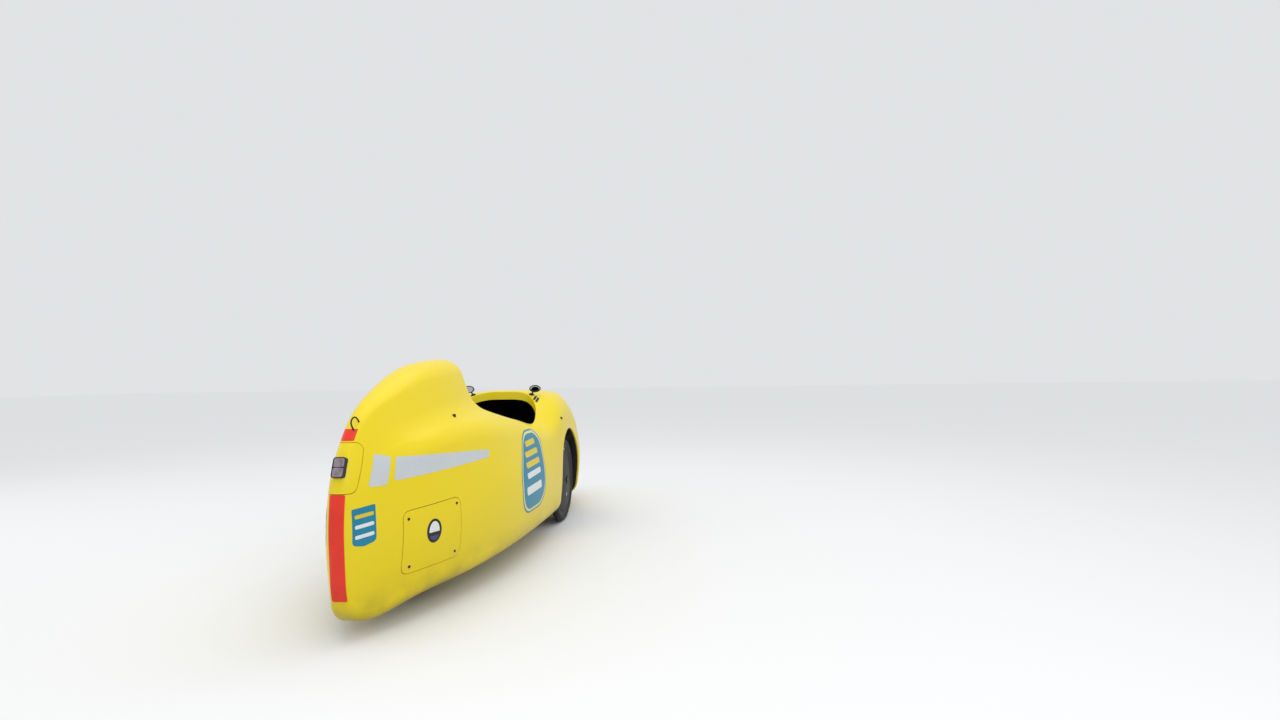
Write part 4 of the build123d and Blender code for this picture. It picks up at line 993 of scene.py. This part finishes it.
# Tiller: ribbed grips and a brake lever before each of them
handle_centre = (handle_x * MM, 0, handle_z * MM)
stick_way = Vector((420, 0, -258)).normalized()
lever_path = ((34, 8), (38, 14), (44, 24), (54, 31), (70, 34), (90, 34), (106, 36), (114, 39))
lever_radii = [7, 7.5, 6.5, 5.5, 5, 5, 5, 5.4]
clamp_profile = [(11, 27), (14.5, 27), (14.5, 40), (11, 40), (11, 27)]
grip_profile = [(11, 44), (17, 44), (17, 47)]
for start in range(48, 114, 5):
    grip_profile += [(14.6, start), (15.8, start + 1), (15.8, start + 3.4), (14.6, start + 4.4)]
grip_profile += [(16, 119), (15, 121.5), (11, 122), (11, 44)]
for side, sign in sides:
    grip, clamp = ([(r, sign * y) for r, y in profile] for profile in (grip_profile, clamp_profile))
    lathe(f"grip_{side}", grip, handle_centre, grip_rubber, "steering", 36, ("tiller_grips",))
    lever = [(handle_x + stick_way.x * far, sign * y, handle_z + stick_way.z * far) for y, far in lever_path]
    tube(f"brake_lever_{side}", lever, lever_radii, alloy, "steering", 12, 0.55)
    lathe(f"lever_clamp_{side}", clamp, handle_centre, anodised, "steering", 36)

# Pedals: a waisted block with rubber bars on both faces
pedal_levels = [(5, -44), (1, -43), (0, -41), (0, -30), (1.4, -28.5), (1.4, 28.5), (0, 30), (0, 41),
                (1, 43), (5, 44)]
bar_levels = [(0, 8), (0, 10.2), (0.8, 11)]
pedal_reach = 114
for side, sign in sides[::-1]:
    foot, x, y = f"foot_{side}", crank_x - sign * crank_length, sign * pedal_reach
    block_at = placed((x, y, crank_z), (1, 0, 0), (0, 1, 0))
    stack(f"pedal_body_{side}", plate(41, 11, 8), pedal_levels, block_at, [black_plastic], foot,
          (f"pedal_{side}",))
    for face, up_dir in (("upper", 1), ("lower", -1)):
        for k, shift in enumerate((-17, 0, 17)):
            bar_at = placed((x, y + shift, crank_z), (1, 0, 0), (0, 0, up_dir))
            stack(f"pedal_bar_{face}_{k}_{side}", plate(33, 4, 2, 4), bar_levels, bar_at, [grip_rubber], foot)

# Spring of the rear strut: a coil along the line between its two ends
strut_foot, strut_top = np.array((-486, 0, 336.0)), np.array((-640, 0, 615.0))
strut_way = (strut_top - strut_foot) / np.linalg.norm(strut_top - strut_foot)
strut_side = np.array((strut_way[2], 0, -strut_way[0]))
coil_turns, coil_steps, coil_radius, coil_start, coil_length, wire_radius = 9, 20, 18.6, 34, 216, 2.4
coil = []
for k in range(coil_turns * coil_steps + 1):
    angle = 2 * math.pi * k / coil_steps
    middle = strut_foot + strut_way * (coil_start + coil_length * k / coil_turns / coil_steps)
    coil.append(middle + (strut_side * math.cos(angle) + np.array((0, 1, 0)) * math.sin(angle)) * coil_radius)
tube("strut_spring", coil, wire_radius, anodised)

# Chain: rollers and plates along the solid chain's middle line, drawn in the side view
chain_y, link_pitch = -45, 12.7
crank_hub, rear_hub = (crank_x, crank_z), (rear_axle_x, rear_radius)
ring_reach, cog_reach = (102.5, 102.5), (42.5, 42.5)
lower_run, upper_run, idler_xs = 106.5, 132.5, (150, -400)
loop = arc(crank_hub, ring_reach, 116, -101.5, 59) + [(x, lower_run) for x in idler_xs]
loop += arc(rear_hub, cog_reach, -68.3, -300, 39) + [(x, upper_run) for x in idler_xs[::-1]]
loop = np.array(loop + loop[:1])
loop_at = np.concatenate([[0], np.cumsum(np.linalg.norm(np.diff(loop, axis=0), axis=1))])
link_count = 2 * round(loop_at[-1] / link_pitch / 2)
spots_at = np.linspace(0, loop_at[-1], link_count, endpoint=False)
pins = np.stack([np.interp(spots_at, loop_at, loop[:, i]) for i in (0, 1)], 1)
chain_points, chain_faces = [], []


def add_plate(outline, low, high):
    base = len(chain_points)
    for y in (high, low):
        chain_points.extend((a * MM, (chain_y + y) * MM, b * MM) for a, b in outline)
    chain_faces.extend([base + i for i in face] for face in grid_faces(2, len(outline), caps=True))


plate_radius, waist, roller_radius, roller_half = (3.5, 3.5), 2.5, 2.7, 1.15
plate_gaps = ((1.2, 2.05), (2.1, 3.0))
for i in range(link_count):
    start, end = pins[i], pins[(i + 1) % link_count]
    ahead = (end - start) / np.linalg.norm(end - start)
    heading = math.degrees(math.atan2(ahead[1], ahead[0]))
    middle, aside = (start + end) / 2, np.array([ahead[1], -ahead[0]]) * waist
    outline = arc(start, plate_radius, heading + 75, heading + 285, 6) + [middle + aside]
    outline += arc(end, plate_radius, heading - 105, heading + 105, 6) + [middle - aside]
    near, far = plate_gaps[i % 2]
    add_plate(outline, near, far)
    add_plate(outline, -far, -near)
    add_plate(ellipse(*start, roller_radius, roller_radius, 8), -roller_half, roller_half)
chain_mesh = mesh_from("chain_links", chain_points, chain_faces, False)
add_piece("chain_links", chain_mesh, [steel], replaces=("chain",))


def toothed(name, teeth, root, tip, inside, y, centre, body):
    """A flat steel ring with teeth, in the chain's plane or beside it, about a centre in mm."""
    flank = tip - 0.8
    shares = ((0.12, root), (0.34, flank), (0.44, tip), (0.56, tip), (0.66, flank), (0.88, root))
    polar = [(2 * math.pi * (k + share) / teeth, r) for k in range(teeth) for share, r in shares]
    points = []
    for depth, is_outer in ((-1, 0), (-1, 1), (1, 1), (1, 0)):
        for angle, r in polar:
            reach = r if is_outer else inside
            place = (centre[0] + reach * math.cos(angle), y + depth, centre[1] + reach * math.sin(angle))
            points.append([v * MM for v in place])
    add_piece(name, mesh_from(name, points, grid_faces(4, len(polar), loop_rows=True), False), [steel], body)


toothed("chainring_teeth", 52, 97.5, 101.4, 90, chain_y, crank_hub, "cranks")
# Cogs from the smallest outward to the wheel: teeth, root radius and place along the axle
cog_rows = ((16, 28.5, -55), (20, 38.4, -50), (20, 38.4, -45), (20, 38.4, -40), (26, 50.4, -35),
            (32, 60.4, -29))
tooth_height, cog_band = 3.2, 6
for i, (teeth, root, y) in enumerate(cog_rows):
    toothed(f"cog_{i}", teeth, root, root + tooth_height, root - cog_band, y, rear_hub, "rear_wheel")

# Solids that stay, with their finishes
finishes = (
    (carbon, ("wheel_box_left", "wheel_box_right", "rear_wheel_box", "seat_shell", "crank_mast")),
    (alloy, ("axle_bridge", "control_arm_left", "control_arm_right", "rear_swingarm", "rear_rim",
             "rear_sprockets", "crankset", "tie_rod_left", "tie_rod_right", "strut_rod_left",
             "strut_rod_right", "tiller")),
    (anodised, ("knuckle_left", "knuckle_right", "rear_shock")),
    (black_plastic, ("idlers",)),
)
for material, names in finishes:
    for name in names:
        nodes[name].data.materials.clear()
        nodes[name].data.materials.append(material)


# Floor, lamps and world
def seen_directly(tree):
    """1 for rays from the camera, off metal and through glass, and 0 for light that reaches the object."""
    path = tree.nodes.new("ShaderNodeLightPath")
    total = path.outputs["Is Camera Ray"]
    for label in ("Is Glossy Ray", "Is Transmission Ray"):
        both = tree.nodes.new("ShaderNodeMath")
        both.operation = "MAXIMUM"
        tree.links.new(total, both.inputs[0])
        tree.links.new(path.outputs[label], both.inputs[1])
        total = both.outputs[0]
    return total


# Pale where it is seen, and darker in the light that it throws back
ground = Paint("pale_floor", (0.5, 0.5, 0.5), 0.95).set("Specular IOR Level", 0.0)
ground.tint(seen_directly(ground.tree), (0.82, 0.82, 0.82))
floor_corners = [(-40, -40, 0), (40, -40, 0), (40, 40, 0), (-40, 40, 0)]
floor = bpy.data.objects.new("floor", mesh_from("floor", floor_corners, [(0, 1, 2, 3)]))
floor.data.materials.append(ground.mat)
show(floor)


def softbox(name, place, target, size, power):
    lamp = bpy.data.lights.new(name, "AREA")
    lamp.shape = "RECTANGLE"
    lamp.size, lamp.size_y = size
    lamp.energy = power
    made = bpy.data.objects.new(name, lamp)
    made.location = place
    made.rotation_euler = (Vector(target) - Vector(place)).to_track_quat("-Z", "Y").to_euler()
    show(made)


softbox("overhead", (-0.4, -0.6, 4.2), (-0.2, 0, 0.4), (5.5, 4.0), 52)
softbox("tail_side", (-4.2, -2.6, 2.4), (-0.6, 0, 0.5), (2.6, 2.0), 32)
softbox("left_fill", (-1.0, 4.5, 2.2), (0, 0, 0.4), (3.5, 2.0), 16)
world = bpy.data.worlds.new("studio")
world.use_nodes = True
backdrop = world.node_tree.nodes["Background"]
backdrop.inputs["Color"].default_value = (0.94, 0.96, 0.98, 1)
light_level, shown_level = 0.94, 0.8
level = world.node_tree.nodes.new("ShaderNodeMapRange")
level.inputs["To Min"].default_value, level.inputs["To Max"].default_value = light_level, shown_level
world.node_tree.links.new(seen_directly(world.node_tree), level.inputs[0])
world.node_tree.links.new(level.outputs[0], backdrop.inputs["Strength"])
bpy.context.scene.world = world
bpy.context.scene.view_settings.view_transform = "Standard"
